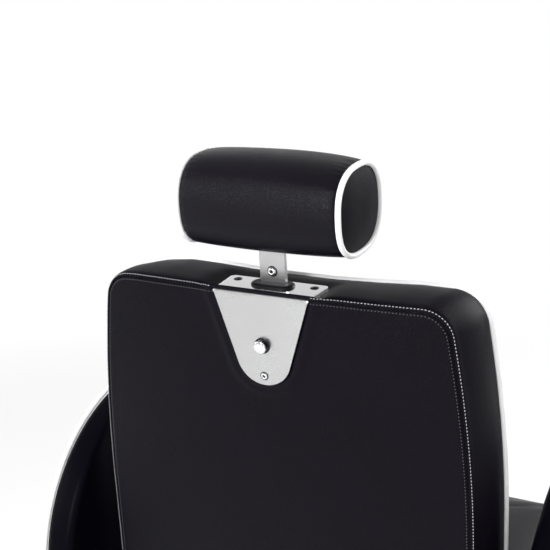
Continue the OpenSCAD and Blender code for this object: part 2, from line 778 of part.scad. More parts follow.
module seat_piping() color("white")
    for (z = [seat_seam_top + piping_r + seam_gap, seat_seam_low - piping_r - seam_gap])
        cord([for (p = rounded_rect(seat_w - 2 * cord_set, seat_depth - 2 * cord_set,
            seat_corner - cord_set)) [p[0], p[1] + (seat_front_y + seat_rear_y) / 2, cushion_z + z]],
            piping_r);

// ---- arms ----

// A disc stretched along Y: the arm's side outline
module arm_disc(x0, t, r) {
    for (y = [arm_front_y, arm_y]) x_rod(x0, x0 + t, r, [y, arm_z], $fn = 96);
    translate([x0, arm_front_y, arm_z - r]) cube([t, arm_straight, 2 * r]);
}

module arm_board_shape() difference() {
    arm_disc(arm_inner_x + arm_skin, arm_board_t, arm_r - arm_rim_pad);
    for (y = spacer_y) x_rod(arm_inner_x, arm_inner_x + arm_bolt_reach, arm_bolt_r, [y, spacer_z]);
}

module arm_pad_shape() difference() {
    union() {
        arm_disc(arm_inner_x, arm_t, arm_r - rebate);
        arm_disc(arm_inner_x + rebate, arm_t - 2 * rebate, arm_r);
    }
    arm_disc(arm_inner_x + arm_skin, arm_board_t, arm_r - arm_rim_pad);
    for (y = spacer_y) x_rod(arm_inner_x - 1, arm_inner_x + arm_skin + 1, arm_bolt_r + 2, [y, spacer_z]);
}

module arm_piping_shape() {
    x = arm_inner_x + arm_t - cord_set;
    r = arm_r - cord_set;
    for (e = [[arm_y, -90], [arm_front_y, 90]]) translate([x, e[0], arm_z])
        rotate([90, 0, 90]) rotate_extrude(angle = 180, start = e[1], $fn = 96)
            translate([r, 0]) circle(piping_r, $fn = 24);
    for (s = [-1, 1]) translate([x, arm_front_y, arm_z + s * r]) rotate([-90, 0, 0])
        cylinder(h = arm_straight, r = piping_r, $fn = 24);
}

module arm_board_left() color("burlywood") arm_board_shape();
module arm_board_right() color("burlywood") mirror([1, 0, 0]) arm_board_shape();
module arm_pad_left() color("#1d1b1f") arm_pad_shape();
module arm_pad_right() color("#1d1b1f") mirror([1, 0, 0]) arm_pad_shape();
module arm_piping_left() color("white") arm_piping_shape();
module arm_piping_right() color("white") mirror([1, 0, 0]) arm_piping_shape();

module arm_spacers() color("silver") for (m = [0, 1], y = spacer_y) mirror([m, 0, 0]) difference() {
    x_rod(rail_x + tube / 2, arm_inner_x, spacer_r, [y, spacer_z]);
    x_rod(rail_x, arm_inner_x + 1, arm_bolt_r + bolt_gap, [y, spacer_z]);
}

module arm_bolts() color("silver") for (m = [0, 1], y = spacer_y) mirror([m, 0, 0]) {
    x_rod(rail_in - 6, rail_in, arm_bolt_r * 1.7, [y, spacer_z]);
    x_rod(rail_in - 1, arm_inner_x + arm_bolt_reach, arm_bolt_r, [y, spacer_z]);
}

// ---- pins and release lever ----

module pivot_pins() color("silver") {
    for (m = [0, 1]) mirror([m, 0, 0]) {
        x_rod(iron_x - iron_t - 2, rail_in, recline_pin_r, pivot);
        x_rod(rail_in, rail_in + 5, recline_pin_r + 4, pivot);
        x_rod(leg_x - leg_bar_t - 2, leg_lug_x + lug_t, recline_pin_r, leg_pivot);
        x_rod(leg_lug_x + lug_t, leg_lug_x + lug_t + 5, recline_pin_r + 4, leg_pivot);
    }
    gas_pin_half = gas_eye_t / 2 + gas_eye_side + gas_lug_t;
    x_rod(-gas_x - gas_pin_half - 3, -gas_x + gas_pin_half + 2, gas_pin_r + 1, gas_front);
}

module lever_bush() color("gold") difference() {
    union() {
        x_rod(-bracket_x - bracket_t, -bracket_x, lever_r + 2, [lever_y, lever_z]);
        for (x = [-bracket_x - bracket_t - bush_flange_t, -bracket_x])
            x_rod(x, x + bush_flange_t, lever_r + 4, [lever_y, lever_z]);
    }
    x_rod(-far, 0, lever_r + run_fit, [lever_y, lever_z]);
}

module release_lever() color("silver") {
    at = [lever_y, lever_z];
    tip = at + [-lever_len, lever_rise];
    x_rod(-handle_x, -lever_x0, lever_r, at);
    side_plate(-handle_x - handle_t, handle_t) slot_2d(at, 11, tip, 7);
    side_plate(-lever_x0 - 2, 5) slot_2d(at, 9, at + [26, -4], 6);
}

module lever_grip() color("#1c1c1e")
    translate([-handle_x - handle_t, lever_y - lever_len, lever_z + lever_rise]) {
        rotate([0, -90, 0]) cylinder(h = grip_len, r1 = grip_r - 2, r2 = grip_r);
        translate([-grip_len, 0, 0]) rotate([0, -90, 0]) cylinder(h = 4, r1 = grip_r, r2 = grip_r - 3);
    }

// ---- gas spring and link ----

module along_gas() {
    translate([-gas_x, gas_front[0], gas_front[1]]) rotate([gas_slope, 0, 0]) children();
}

module gas_cylinder() color("#1c1c1e") along_gas() difference() {
    union() {
        x_rod(-gas_eye_t / 2, gas_eye_t / 2, 11, [0, 0]);
        rotate([-90, 0, 0]) cylinder(h = 22, r = 7);
        translate([0, 20, 0]) rotate([-90, 0, 0]) cylinder(h = gas_body - 20, r = gas_r);
    }
    x_rod(-far, far, gas_pin_r + 1 + run_fit, [0, 0]);
    translate([0, gas_body - gas_bore, 0]) rotate([-90, 0, 0]) cylinder(h = far, r = gas_rod_r + run_fit);
}

module gas_rod() color("silver") along_gas() difference() {
    union() {
        translate([0, gas_body - gas_hold, 0]) rotate([-90, 0, 0])
            cylinder(h = gas_len - gas_eye_r - gas_body + gas_hold + 1, r = gas_rod_r);
        x_rod(-gas_eye_t / 2, gas_eye_t / 2, gas_eye_r, [gas_len, 0]);
    }
    x_rod(-far, far, gas_pin_r + gas_eye_gap, [gas_len, 0]);
}

module legrest_link() color("silver") difference() {
    side_plate(link_x - link_t, link_t) slot_2d(link_rear, link_h / 2, link_front, link_h / 2);
    x_rod(-far, far, link_pin_r + run_fit, link_rear);
    x_rod(-far, far, link_pin_r + open_gap, link_front);
}

// ---- legrest ----

module leg_bar_2d() {
    slot_2d(leg_pivot, leg_lug_r, leg_knee, leg_bar_r);
    slot_2d(leg_knee, leg_bar_r, foot_pivot, leg_bar_r);
}

module legrest_frame() color("silver") difference() {
    union() {
        side_plate(leg_x - leg_bar_t, leg_bar_t) leg_bar_2d();
        side_plate(-leg_x, leg_bar_t) leg_bar_2d();
        side_plate(leg_x - leg_bar_t, leg_bar_t) slot_2d(leg_pivot, 13, link_front, leg_bar_r);
        x_rod(link_x - link_t - 3, leg_x - 1, link_pin_r, link_front);
        on_legrest() for (z = leg_cross_v) translate([-leg_x + 1, 4, z])
            cube([2 * leg_x - 2, calf_set - 4, leg_cross_h]);
    }
    x_rod(-far, far, recline_pin_r + run_fit, leg_pivot);
    x_rod(-far, far, foot_pin_r, foot_pivot);
}

module calf_board() color("burlywood") on_legrest()
    translate([0, calf_set, calf_top + calf_len / 2]) rotate([-90, 0, 0])
        linear_extrude(calf_board_t) polygon(rounded_rect(calf_w - 2 * calf_board_in[0],
            calf_len - 2 * calf_board_in[1], calf_board_corner));

module calf_slice(out, inset) {
    translate([0, calf_set + calf_board_t + out, calf_top + calf_len / 2]) rotate([-90, 0, 0])
        linear_extrude(hair) polygon(rounded_rect(calf_w - 2 * inset, calf_len - 2 * inset,
            calf_corner - inset));
}

module calf_pad() color("#1d1b1f") on_legrest() {
    hull() {
        calf_slice(0, 4);
        calf_slice(6, 0);
        calf_slice(calf_seam - hair, 0);
    }
    hull() {
        calf_slice(calf_seam - 4, rebate);
        calf_slice(calf_t - 12, rebate);
        calf_slice(calf_t - 4, rebate + 5);
        calf_slice(calf_t - hair, 24);
    }
}

module calf_piping() color("white") on_legrest()
    cord([for (p = rounded_rect(calf_w - 2 * cord_set, calf_len - 2 * cord_set, calf_corner - cord_set))
        [p[0], calf_set + calf_board_t + calf_seam + piping_r + seam_gap,
            calf_top + calf_len / 2 + p[1]]], piping_r);

module footplate_pin() color("silver") {
    x_rod(-leg_x - 4, leg_x + 4, foot_pin_r, foot_pivot);
}

module footplate() color("silver") difference() {
    union() {
        x_rod(-leg_x + leg_bar_t + 1, leg_x - leg_bar_t - 1, foot_barrel_r, foot_pivot);
        translate([-footplate_w / 2, foot_pivot[0] - footplate_depth, foot_pivot[1] - footplate_t / 2])
            cube([footplate_w, footplate_depth, footplate_t]);
        x_rod(-footplate_w / 2, footplate_w / 2, 8, foot_pivot - [footplate_depth, 0]);
        for (x = [-120 : 80 : 120]) translate([x - 3, foot_pivot[0] - footplate_depth + 4,
            foot_pivot[1] - 9]) cube([6, footplate_depth - 4, 8]);
    }
    x_rod(-far, far, foot_pin_r + run_fit, foot_pivot);
}

module footplate_tread() color("#1c1c1e") for (i = [0 : 5]) translate([-footplate_w / 2 + tread_in,
    foot_pivot[0] - footplate_depth + 16 + i * tread_pitch, foot_pivot[1] + footplate_t / 2])
        cube([footplate_w - 2 * tread_in, tread_w, tread_t]);

// ---- back ----

function from_back(w, v) = [
    back_top_y + w * cos(back_tilt) + v * sin(back_tilt),
    back_top_z - w * sin(back_tilt) + v * cos(back_tilt)];
iron_foot = from_back(iron_w, -back_length + 4);
iron_top = from_back(iron_w, iron_top_v);

module iron_2d(grow = 0) {
    slot_2d(pivot, iron_boss_r + grow, iron_foot, iron_half + grow);
    slot_2d(iron_foot, iron_half + grow, iron_top, iron_half + grow);
}

// The room the two irons take up, with a gap around them
module iron_room(gap) {
    side_plate(iron_x - iron_t - gap, iron_t + gap) iron_2d(gap);
    side_plate(-iron_x, iron_t + gap) iron_2d(gap);
}

module iron_bolt_places() {
    on_back() for (v = iron_bolt_v) translate([0, iron_w, v]) children();
}

module back_iron_left() color("#2a2a2c") difference() {
    union() {
        side_plate(iron_x - iron_t, iron_t) {
            iron_2d();
            slot_2d(pivot, iron_boss_r, link_rear, 13);
        }
        x_rod(link_x - link_t - 3, iron_x - 1, link_pin_r, link_rear);
        x_rod(link_x + side_gap, iron_x - 1, link_pin_r + 4, link_rear);
    }
    x_rod(0, far, recline_pin_r + run_fit, pivot);
    iron_bolt_places() x_rod(0, far, iron_bolt_r + bolt_gap, [0, 0]);
}

module back_iron_right() color("#2a2a2c") difference() {
    union() {
        side_plate(-iron_x, iron_t) {
            iron_2d();
            slot_2d(pivot, iron_boss_r, gas_rear, 12);
        }
        x_rod(-iron_x + 1, -gas_x + gas_eye_t / 2 + 2, gas_pin_r, gas_rear);
        x_rod(-iron_x + 1, -gas_x - gas_eye_t / 2 - 1, gas_pin_r + 4, gas_rear);
    }
    x_rod(-far, 0, recline_pin_r + run_fit, pivot);
    iron_bolt_places() x_rod(-far, 0, iron_bolt_r + bolt_gap, [0, 0]);
}

module back_bolts() color("silver") for (m = [0, 1]) mirror([m, 0, 0]) iron_bolt_places() {
    x_rod(iron_x - iron_t - iron_bolt_r, iron_x - iron_t, 1.75 * iron_bolt_r, [0, 0]);
    x_rod(iron_x - iron_t - 1, iron_x + iron_bolt_reach, iron_bolt_r, [0, 0]);
}

// What the plate, its two screws and the bar's guide take out of the back's top
module plate_cuts() {
    translate([-recess_half, -flange_d - 4, -plate_t]) cube([2 * recess_half, flange_d + 8, 40]);
    translate([-guide_half_w - seam_gap, guide_front_w - seam_gap, -60])
        cube([2 * (guide_half_w + seam_gap), guide_rear_w - guide_front_w + 2 * seam_gap, 90]);
    for (s = [-1, 1]) translate([s * plate_screw_u, plate_screw_w, -30])
        cylinder(h = 60, r = small_screw_r + 0.1);
}

// The wooden frame's outline, reaching back by extra behind its rear face
module core_block(extra = 0, gap = 0) {
    hull() {
        back_slab(-back_panel_t + extra, hair, core_inset - gap);
        back_slab(core_front_w + hair - gap, hair, core_inset - gap);
    }
}

module back_core() color("burlywood") difference() {
    on_back() difference() {
        core_block();
        translate([-core_window, core_front_w - 1, -back_length + core_bar])
            cube([2 * core_window, back_core_t + 2, back_length - 2 * core_bar + 4]);
        plate_cuts();
        for (m = [0, 1], v = iron_bolt_v) mirror([m, 0, 0])
            x_rod(iron_x - 1, iron_x + iron_bolt_reach + 1, iron_bolt_r + 0.1, [iron_w, v]);
    }
    iron_room(seam_gap);
}

module back_panel() color("#1d1b1f") on_back() difference() {
    hull() {
        back_slab(0, hair, 70);
        back_slab(-panel_crown / 3, hair, 26);
        back_slab(-panel_crown, hair, 3);
        back_slab(-panel_crown - 2, hair, 0);
        back_slab(-back_panel_t + hair, hair, 0);
    }
    plate_cuts();
    translate([0, 1, -button_v]) rotate([90, 0, 0]) cylinder(h = back_panel_t + 2, r = bush_r);
    translate([0, 1, -tip_screw_v]) rotate([90, 0, 0]) cylinder(h = 10, r = small_screw_r);
}

module back_cushion() color("#1d1b1f") difference() {
    on_back() difference() {
        union() {
            hull() {
                back_slab(-back_panel_t, hair, 0);
                back_slab(back_seam_w + hair, hair, 0);
            }
            hull() {
                back_slab(back_seam_w + 4, hair, rebate);
                back_slab(-back_t + 8, hair, rebate);
                back_slab(-back_t + 3, hair, rebate + 6);
                back_slab(-back_t + hair, hair, 24);
            }
        }
        core_block(1, seam_gap);
        plate_cuts();
    }
    iron_room(soft_gap);
}

module back_piping() color("white") on_back() {
    w = back_seam_w - piping_r - seam_gap;
    cord([for (p = back_outline(-w / back_t, cord_set)) [p[0], w, p[1]]], piping_r);
}

// ---- headrest plate and latch ----

module flange_2d() {
    far = plate_w / 2 + flange_widen / 2;
    r = 9;
    polygon(concat([[-plate_w / 2, plate_t], [-plate_w / 2, 0]],
        arc(-far + r, -flange_d + r, r, 180, 270, 6), arc(far - r, -flange_d + r, r, 270, 360, 6),
        [[plate_w / 2, 0], [plate_w / 2, plate_t]]));
}

module drop_2d() {
    c = plate_drop - plate_tip_r;
    t = tip_tangent(plate_w / 2, c, plate_tip_r);
    a = atan2(t[1] + c, t[0]);
    polygon(concat([[plate_w / 2, 0], [-plate_w / 2, 0]], arc(0, -c, plate_tip_r, 180 - a, 360 + a, 40)));
}

module grommet_2d(grow) {
    r = grommet_depth / 2 + grow;
    for (s = [-1, 1]) translate([s * (grommet_half - grommet_depth / 2), grommet_w]) circle(r);
    translate([-grommet_half + grommet_depth / 2, grommet_w - r])
        square([2 * grommet_half - grommet_depth, 2 * r]);
}

module headrest_plate() color("gainsboro") on_back() difference() {
    union() {
        translate([0, 0, -plate_t]) linear_extrude(plate_t) flange_2d();
        translate([0, plate_t, 0]) rotate([90, 0, 0]) linear_extrude(plate_t) drop_2d();
    }
    translate([0, 0, -10]) linear_extrude(20) grommet_2d(-3);
    translate([0, 10, -button_v]) rotate([90, 0, 0]) cylinder(h = 20, r = bush_r);
    translate([0, 10, -tip_screw_v]) rotate([90, 0, 0]) cylinder(h = 20, r = small_screw_r + 0.1);
    for (s = [-1, 1]) translate([s * plate_screw_u, plate_screw_w, -10])
        cylinder(h = 20, r = small_screw_r + 0.1);
}

module button_screw(length) {
    difference() {
        union() {
            cylinder(h = 1.6, r = small_head_r);
            translate([0, 0, 1.6]) cylinder(h = 1.4, r1 = small_head_r, r2 = small_head_r - 2);
        }
        translate([0, 0, 1]) cylinder(h = 3, r = 2, $fn = 6);
    }
    translate([0, 0, -length]) cylinder(h = length, r = small_screw_r);
}

module plate_screws() color("silver") on_back() {
    for (s = [-1, 1]) translate([s * plate_screw_u, plate_screw_w, 0]) button_screw(24);
    translate([0, plate_t, -tip_screw_v]) rotate([-90, 0, 0]) button_screw(8);
}

module bar_grommet() color("#1c1c1e") on_back() difference() {
    union() {
        linear_extrude(grommet_h) grommet_2d(0);
        translate([0, 0, -plate_t]) linear_extrude(plate_t + 1) grommet_2d(-3);
    }
    translate([-bar_w / 2 - guide_gap, -bar_set - bar_t - guide_gap, -10])
        cube([bar_w + 2 * guide_gap, bar_t + 2 * guide_gap, 30]);
}

module bar_guide() color("#2a2a2c") on_back() difference() {
    translate([-guide_half_w, guide_front_w, guide_bottom_v])
        cube([2 * guide_half_w, guide_rear_w - guide_front_w, -plate_t - guide_bottom_v]);
    translate([-bar_w / 2 - guide_gap, -bar_set - bar_t - guide_gap, guide_bottom_v - 1])
        cube([bar_w + 2 * guide_gap, bar_t + 2 * guide_gap, 200]);
    translate([0, 0, -button_v]) rotate([90, 0, 0]) cylinder(h = bar_set + 1, r = stem_r + 1);
    translate([-12, guide_front_w - 1, -button_v - 9]) cube([24, guide_wall + 1.5, 18]);
}

module button_bush() color("silver") on_back() translate([0, 0, -button_v]) difference() {
    union() {
        translate([0, plate_t + bush_rim_t, 0]) rotate([90, 0, 0])
            cylinder(h = bush_rim_t, r = bush_r + 2.5);
        translate([0, plate_t + 1, 0]) rotate([90, 0, 0])
            cylinder(h = plate_t + 1 - guide_rear_w, r = bush_r);
    }
    translate([0, 20, 0]) rotate([90, 0, 0]) cylinder(h = 80, r = stem_r + run_fit);
}

button_seat = plate_t + bush_rim_t + button_travel + 0.3;
dog_w = -bar_set - bar_t - guide_gap;

module release_button() color("silver") on_back() translate([0, 0, -button_v]) {
    translate([0, button_seat, 0]) rotate([-90, 0, 0]) rotate_extrude() polygon(concat(
        [[0, 0], [button_r, 0]], [for (a = [0 : 10 : 80])
            [button_r - 2.6 + 2.6 * cos(a), 2 + 2.6 * sin(a)]], [[0, 4.8]]));
    translate([0, button_seat + 1, 0]) rotate([90, 0, 0])
        cylinder(h = button_seat + 1 - dog_w, r = stem_r);
}

module latch_dog() color("silver") on_back() translate([-10, dog_w - 4, -button_v - 7])
    cube([20, 4, 14]);

// ---- headrest ----

module headrest_bar() color("gainsboro") on_back() difference() {
    translate([-bar_w / 2, -bar_set - bar_t, bar_bottom_v])
        cube([bar_w, bar_t, bar_top_v - bar_bottom_v]);
    translate([-bar_slot_w / 2, -bar_set - bar_t - 1, slot_bottom_v])
        cube([bar_slot_w, bar_t + 2, slot_top_v - slot_bottom_v]);
    for (v = [-button_v - 90 : 15 : -button_v]) translate([-10.5, -bar_set - bar_t - 1, v - 2])
        cube([21, 2, 4]);
    translate([0, 0, stop_screw_v]) rotate([90, 0, 0]) cylinder(h = 60, r = 4.1);
    for (v = block_screw_v) translate([0, 0, v]) rotate([90, 0, 0]) cylinder(h = 60, r = 3.1);
}

block_screw_v = [bolster_v - 16, bolster_v + 8];

module bar_screws() color("silver") on_back() {
    translate([0, -bar_set, stop_screw_v]) rotate([-90, 0, 0]) difference() {
        union() {
            cylinder(h = 2.6, r = 7);
            translate([0, 0, 2.6]) cylinder(h = 1.8, r1 = 7, r2 = 4.5);
            translate([0, 0, -bar_t - 1]) cylinder(h = bar_t + 1, r = 4);
        }
        translate([0, 0, 1.6]) cylinder(h = 4, r = 2.9, $fn = 6);
    }
    for (v = block_screw_v) translate([0, -bar_set, v]) rotate([-90, 0, 0]) button_screw(24);
}

module headrest_block() color("burlywood") on_back() difference() {
    translate([-bolster_w / 2 + 14, -bar_set - bar_t - bolster_core_d, bolster_v - bolster_core_h / 2])
        cube([bolster_w - 28, bolster_core_d, bolster_core_h]);
    for (v = block_screw_v) translate([0, 0, v]) rotate([90, 0, 0])
        cylinder(h = bar_set + 26, r = 3.1);
}

module bolster_slice(u, t, grow) {
    translate([u, -bolster_w0, bolster_v]) rotate([90, 0, 90])
        linear_extrude(t) polygon(bolster_outline(grow));
}

bolster_half = bolster_w / 2 - rebate;

module headrest_cushion() color("#1d1b1f") on_back() difference() {
    union() {
        for (s = [-1, 1]) hull() {
            bolster_slice(s * bolster_half - (s + 1) / 2, 1, 0);
            bolster_slice(s * bolster_half / 2 - 0.5, 1, bolster_crown * 0.75);
        }
        hull() for (i = [-1 : 1]) bolster_slice(bolster_half * i / 2 - 0.5, 1,
            bolster_crown * (1 - i * i / 4));
        bolster_slice(-bolster_w / 2, bolster_w, -rebate);
    }
    translate([-bolster_w / 2 + 14, -bar_set - bar_t - bolster_core_d, bolster_v - bolster_core_h / 2])
        cube([bolster_w - 28, bolster_core_d, bolster_core_h]);
    translate([-bar_w / 2 - 0.5, -bar_set - bar_t, bolster_v - bolster_h])
        cube([bar_w + 1, bar_t + 5, bar_top_v + 1 - bolster_v + bolster_h]);
}

module headrest_piping() color("white") on_back() for (s = [-1, 1])
    cord([for (p = bolster_outline(-cord_set)) [s * (bolster_w / 2 - cord_set),
        -bolster_w0 + p[0], bolster_v + p[1]]], piping_r);

floor_plate();
base_trim();
base_dome();
dome_collar();
pump_housing();
pump_bolts();
gland_ring();
pedal_pin();
pump_plunger();
pedal_lever();
pedal_pad();
ram();
swivel_washer();
seat_mount();
mount_bolts();
seat_frame();
seat_board();
seat_cushion();
seat_piping();
arm_board_left();
arm_board_right();
arm_pad_left();
arm_pad_right();
arm_piping_left();
arm_piping_right();
arm_spacers();
arm_bolts();
pivot_pins();
lever_bush();
release_lever();
lever_grip();
gas_cylinder();
gas_rod();
legrest_link();
legrest_frame();
calf_board();
calf_pad();
calf_piping();
footplate_pin();
footplate();
footplate_tread();
back_iron_left();
back_iron_right();
back_bolts();
back_core();
back_panel();
back_cushion();
back_piping();
headrest_plate();
plate_screws();
bar_grommet();
bar_guide();
button_bush();
release_button();
latch_dog();
headrest_bar();
bar_screws();
headrest_block();
headrest_cushion();
headrest_piping();
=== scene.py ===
import bpy
import json
import math
import numpy as np
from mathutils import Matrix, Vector


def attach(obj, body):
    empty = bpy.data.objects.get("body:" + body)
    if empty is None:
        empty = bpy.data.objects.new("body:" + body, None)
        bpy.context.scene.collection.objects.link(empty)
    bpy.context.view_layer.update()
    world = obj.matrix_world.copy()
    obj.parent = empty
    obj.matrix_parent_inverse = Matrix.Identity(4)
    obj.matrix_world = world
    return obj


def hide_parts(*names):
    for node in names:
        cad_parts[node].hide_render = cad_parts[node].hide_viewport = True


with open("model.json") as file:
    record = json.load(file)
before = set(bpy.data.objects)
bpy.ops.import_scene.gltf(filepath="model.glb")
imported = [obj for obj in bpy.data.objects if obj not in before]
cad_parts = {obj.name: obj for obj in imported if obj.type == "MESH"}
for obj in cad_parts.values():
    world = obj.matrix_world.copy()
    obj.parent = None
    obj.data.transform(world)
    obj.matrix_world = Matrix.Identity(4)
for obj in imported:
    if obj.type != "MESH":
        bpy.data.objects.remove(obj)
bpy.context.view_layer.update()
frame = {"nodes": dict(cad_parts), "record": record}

mm = 0.001
pi = math.pi

# the back and the legrest are drawn in frames of their own, in mm, and turned into the chair's frame
backPlace = dict(topY=0.360, topZ=1.000, lean=math.radians(6.8))
legPlace = dict(y=-0.270, z=0.350, hang=math.radians(12))


def fromWorld(x, y, z):
    # one array of points in metres from three arrays or numbers in mm
    return np.stack(np.broadcast_arrays(x, y, z), axis=-1) * mm


def fromBack(u, w, v):
    # x = u; y and z are w (rearwards) and v (up along the back) turned by the lean
    c, s = math.cos(backPlace["lean"]), math.sin(backPlace["lean"])
    w, v = np.asarray(w, float), np.asarray(v, float)
    return fromWorld(u, w * c + v * s, v * c - w * s) + (0, backPlace["topY"], backPlace["topZ"])


def fromLeg(u, out, down):
    # x = u; y and z are out (towards the shins) and down (along the side bars) turned by the hang
    c, s = math.cos(legPlace["hang"]), math.sin(legPlace["hang"])
    out, down = np.asarray(out, float), np.asarray(down, float)
    return fromWorld(u, -(down * s + out * c), out * s - down * c) + (0, legPlace["y"], legPlace["z"])


offBack = fromBack(0, 1, 0) - fromBack(0, 0, 0)


def newGroup(name, inputs, outputs):
    # inputs are (label, kind, value), outputs (label, kind)
    tree = bpy.data.node_groups.new(name, "ShaderNodeTree")
    for label, kind, value in inputs:
        tree.interface.new_socket(label, in_out="INPUT", socket_type=kind).default_value = value
    for label, kind in outputs:
        tree.interface.new_socket(label, in_out="OUTPUT", socket_type=kind)
    return tree, tree.nodes.new("NodeGroupInput"), tree.nodes.new("NodeGroupOutput")


def addNode(tree, kind, settings=None, **inputs):
    # settings are the node's own; an input is named by its label, or i and its number
    node = tree.nodes.new(kind)
    for key, value in (settings or {}).items():
        setattr(node, key, value)
    for key, value in inputs.items():
        socket = node.inputs[int(key[1:])] if key[0] == "i" and key[1:].isdigit() else node.inputs[key]
        if isinstance(value, bpy.types.NodeSocket):
            tree.links.new(value, socket)
        else:
            socket.default_value = value
    return node


def math2(tree, operation, a, b=0.0, c=0.0):
    return addNode(tree, "ShaderNodeMath", dict(operation=operation), i0=a, i1=b, i2=c).outputs[0]


def objectCoords(tree):
    return addNode(tree, "ShaderNodeTexCoord").outputs["Object"]


def noise(tree, vector, scale, detail=2.0, rough=0.5):
    node = addNode(tree, "ShaderNodeTexNoise", Vector=vector, Scale=scale, Detail=detail, Roughness=rough)
    return node.outputs["Fac"]


def walls(tree, vector, scale, width):
    # 0 on the walls between the cells of a Voronoi pattern, rising to 1 at the given width
    kind = dict(feature="DISTANCE_TO_EDGE")
    cells = addNode(tree, "ShaderNodeTexVoronoi", kind, Vector=vector, Scale=scale)
    return ramp(tree, cells.outputs["Distance"], 0.0, width)


def vectorMath(tree, operation, a, b, c=(0, 0, 0)):
    return addNode(tree, "ShaderNodeVectorMath", dict(operation=operation), i0=a, i1=b, i2=c).outputs[0]


def ramp(tree, value, low, high, outLow=0.0, outHigh=1.0):
    ends = dict(i1=low, i2=high, i3=outLow, i4=outHigh)
    return addNode(tree, "ShaderNodeMapRange", dict(clamp=True), i0=value, **ends).outputs[0]


def mixColour(tree, factor, a, b):
    kind = dict(data_type="RGBA")
    return addNode(tree, "ShaderNodeMix", kind, i0=factor, i6=(*a, 1), i7=(*b, 1)).outputs[2]


def makeLeatherGrain():
    # pebbles: cell walls of a fine Voronoi pattern, broken up by a coarser one and by soft creases
    tree, g, out = newGroup("leatherGrain",
                            [("Scale", "NodeSocketFloat", 620.0), ("Crease", "NodeSocketFloat", 0.35)],
                            [("Height", "NodeSocketFloat"), ("Tone", "NodeSocketFloat")])
    at = objectCoords(tree)
    wobble = addNode(tree, "ShaderNodeTexNoise", Vector=at, Scale=160.0, Detail=1.0).outputs["Color"]
    bent = vectorMath(tree, "MULTIPLY_ADD", wobble, (0.0012, 0.0012, 0.0012), at)
    pebble = walls(tree, bent, g.outputs["Scale"], 0.22)
    broad = walls(tree, bent, math2(tree, "MULTIPLY", g.outputs["Scale"], 0.42), 0.16)
    height = math2(tree, "MULTIPLY_ADD", broad, 0.45, pebble)
    height = math2(tree, "MULTIPLY_ADD", noise(tree, bent, 38.0, 3.0, 0.6), g.outputs["Crease"], height)
    tree.links.new(height, out.inputs["Height"])
    tree.links.new(noise(tree, at, 9.0, 3.0, 0.55), out.inputs["Tone"])
    return tree


def makeWear():
    # a mask of small rubs and specks, more where two noises agree, and a broad smudge
    tree, g, out = newGroup("wear", [("Amount", "NodeSocketFloat", 0.3), ("Scale", "NodeSocketFloat", 60.0)],
                            [("Mask", "NodeSocketFloat"), ("Smudge", "NodeSocketFloat")])
    at = objectCoords(tree)
    rub = noise(tree, at, g.outputs["Scale"], 6.0, 0.65)
    speck = noise(tree, at, math2(tree, "MULTIPLY", g.outputs["Scale"], 7.0))
    edge = math2(tree, "SUBTRACT", 0.50, math2(tree, "MULTIPLY", g.outputs["Amount"], 0.35))
    tree.links.new(ramp(tree, math2(tree, "MULTIPLY", rub, speck), edge, 0.55), out.inputs["Mask"])
    tree.links.new(noise(tree, at, 14.0, 4.0, 0.6), out.inputs["Smudge"])
    return tree


def makeBrushing():
    # fine lines: noise stretched along one axis of the piece, and a broad cloud
    tree, g, out = newGroup("brushing", [("Stretch", "NodeSocketVector", (1.0, 1.0, 0.02))],
                            [("Line", "NodeSocketFloat"), ("Cloud", "NodeSocketFloat")])
    at = objectCoords(tree)
    tree.links.new(noise(tree, vectorMath(tree, "MULTIPLY", at, g.outputs["Stretch"]), 2600.0, 3.0, 0.6),
                   out.inputs["Line"])
    tree.links.new(noise(tree, at, 24.0, 3.0), out.inputs["Cloud"])
    return tree


leatherGrain, wear, brushing = makeLeatherGrain(), makeWear(), makeBrushing()
print("shader groups made")


def newMaterial(name, colour, rough, metal=0.0, specular=0.5):
    material = bpy.data.materials.new(name)
    material.use_nodes = True
    shader = material.node_tree.nodes["Principled BSDF"]
    for label, value in (("Base Color", (*colour, 1)), ("Roughness", rough), ("Metallic", metal),
                         ("Specular IOR Level", specular)):
        shader.inputs[label].default_value = value
    return material, material.node_tree, shader


def placeGroup(tree, group, **inputs):
    return addNode(tree, "ShaderNodeGroup", dict(node_tree=group), **inputs).outputs


def addBump(tree, shader, height, strength, distance):
    bump = addNode(tree, "ShaderNodeBump", Strength=strength, Distance=distance, Height=height)
    tree.links.new(bump.outputs["Normal"], shader.inputs["Normal"])


def varied(tree, colour, factor, spread):
    # from a little darker than the colour to a little lighter
    return mixColour(tree, factor, [c * (1 - spread) for c in colour], [c * (1 + spread) for c in colour])


def leatherMaterial(name, colour, rough, scale=620.0, crease=0.35, bump=0.35, specular=0.5):
    # the base colour and the roughness follow the grain's tone, and rubs shine a little more
    material, tree, shader = newMaterial(name, colour, rough, specular=specular)
    grain = placeGroup(tree, leatherGrain, Scale=scale, Crease=crease)
    rubs = placeGroup(tree, wear, Amount=0.25, Scale=35.0)
    tree.links.new(varied(tree, colour, grain["Tone"], 0.22), shader.inputs["Base Color"])
    tone = ramp(tree, grain["Tone"], 0.3, 0.7, rough - 0.05, rough + 0.06)
    worn = math2(tree, "SUBTRACT", tone, math2(tree, "MULTIPLY", rubs["Mask"], 0.08))
    tree.links.new(worn, shader.inputs["Roughness"])
    addBump(tree, shader, grain["Height"], bump, 0.00012)
    return material


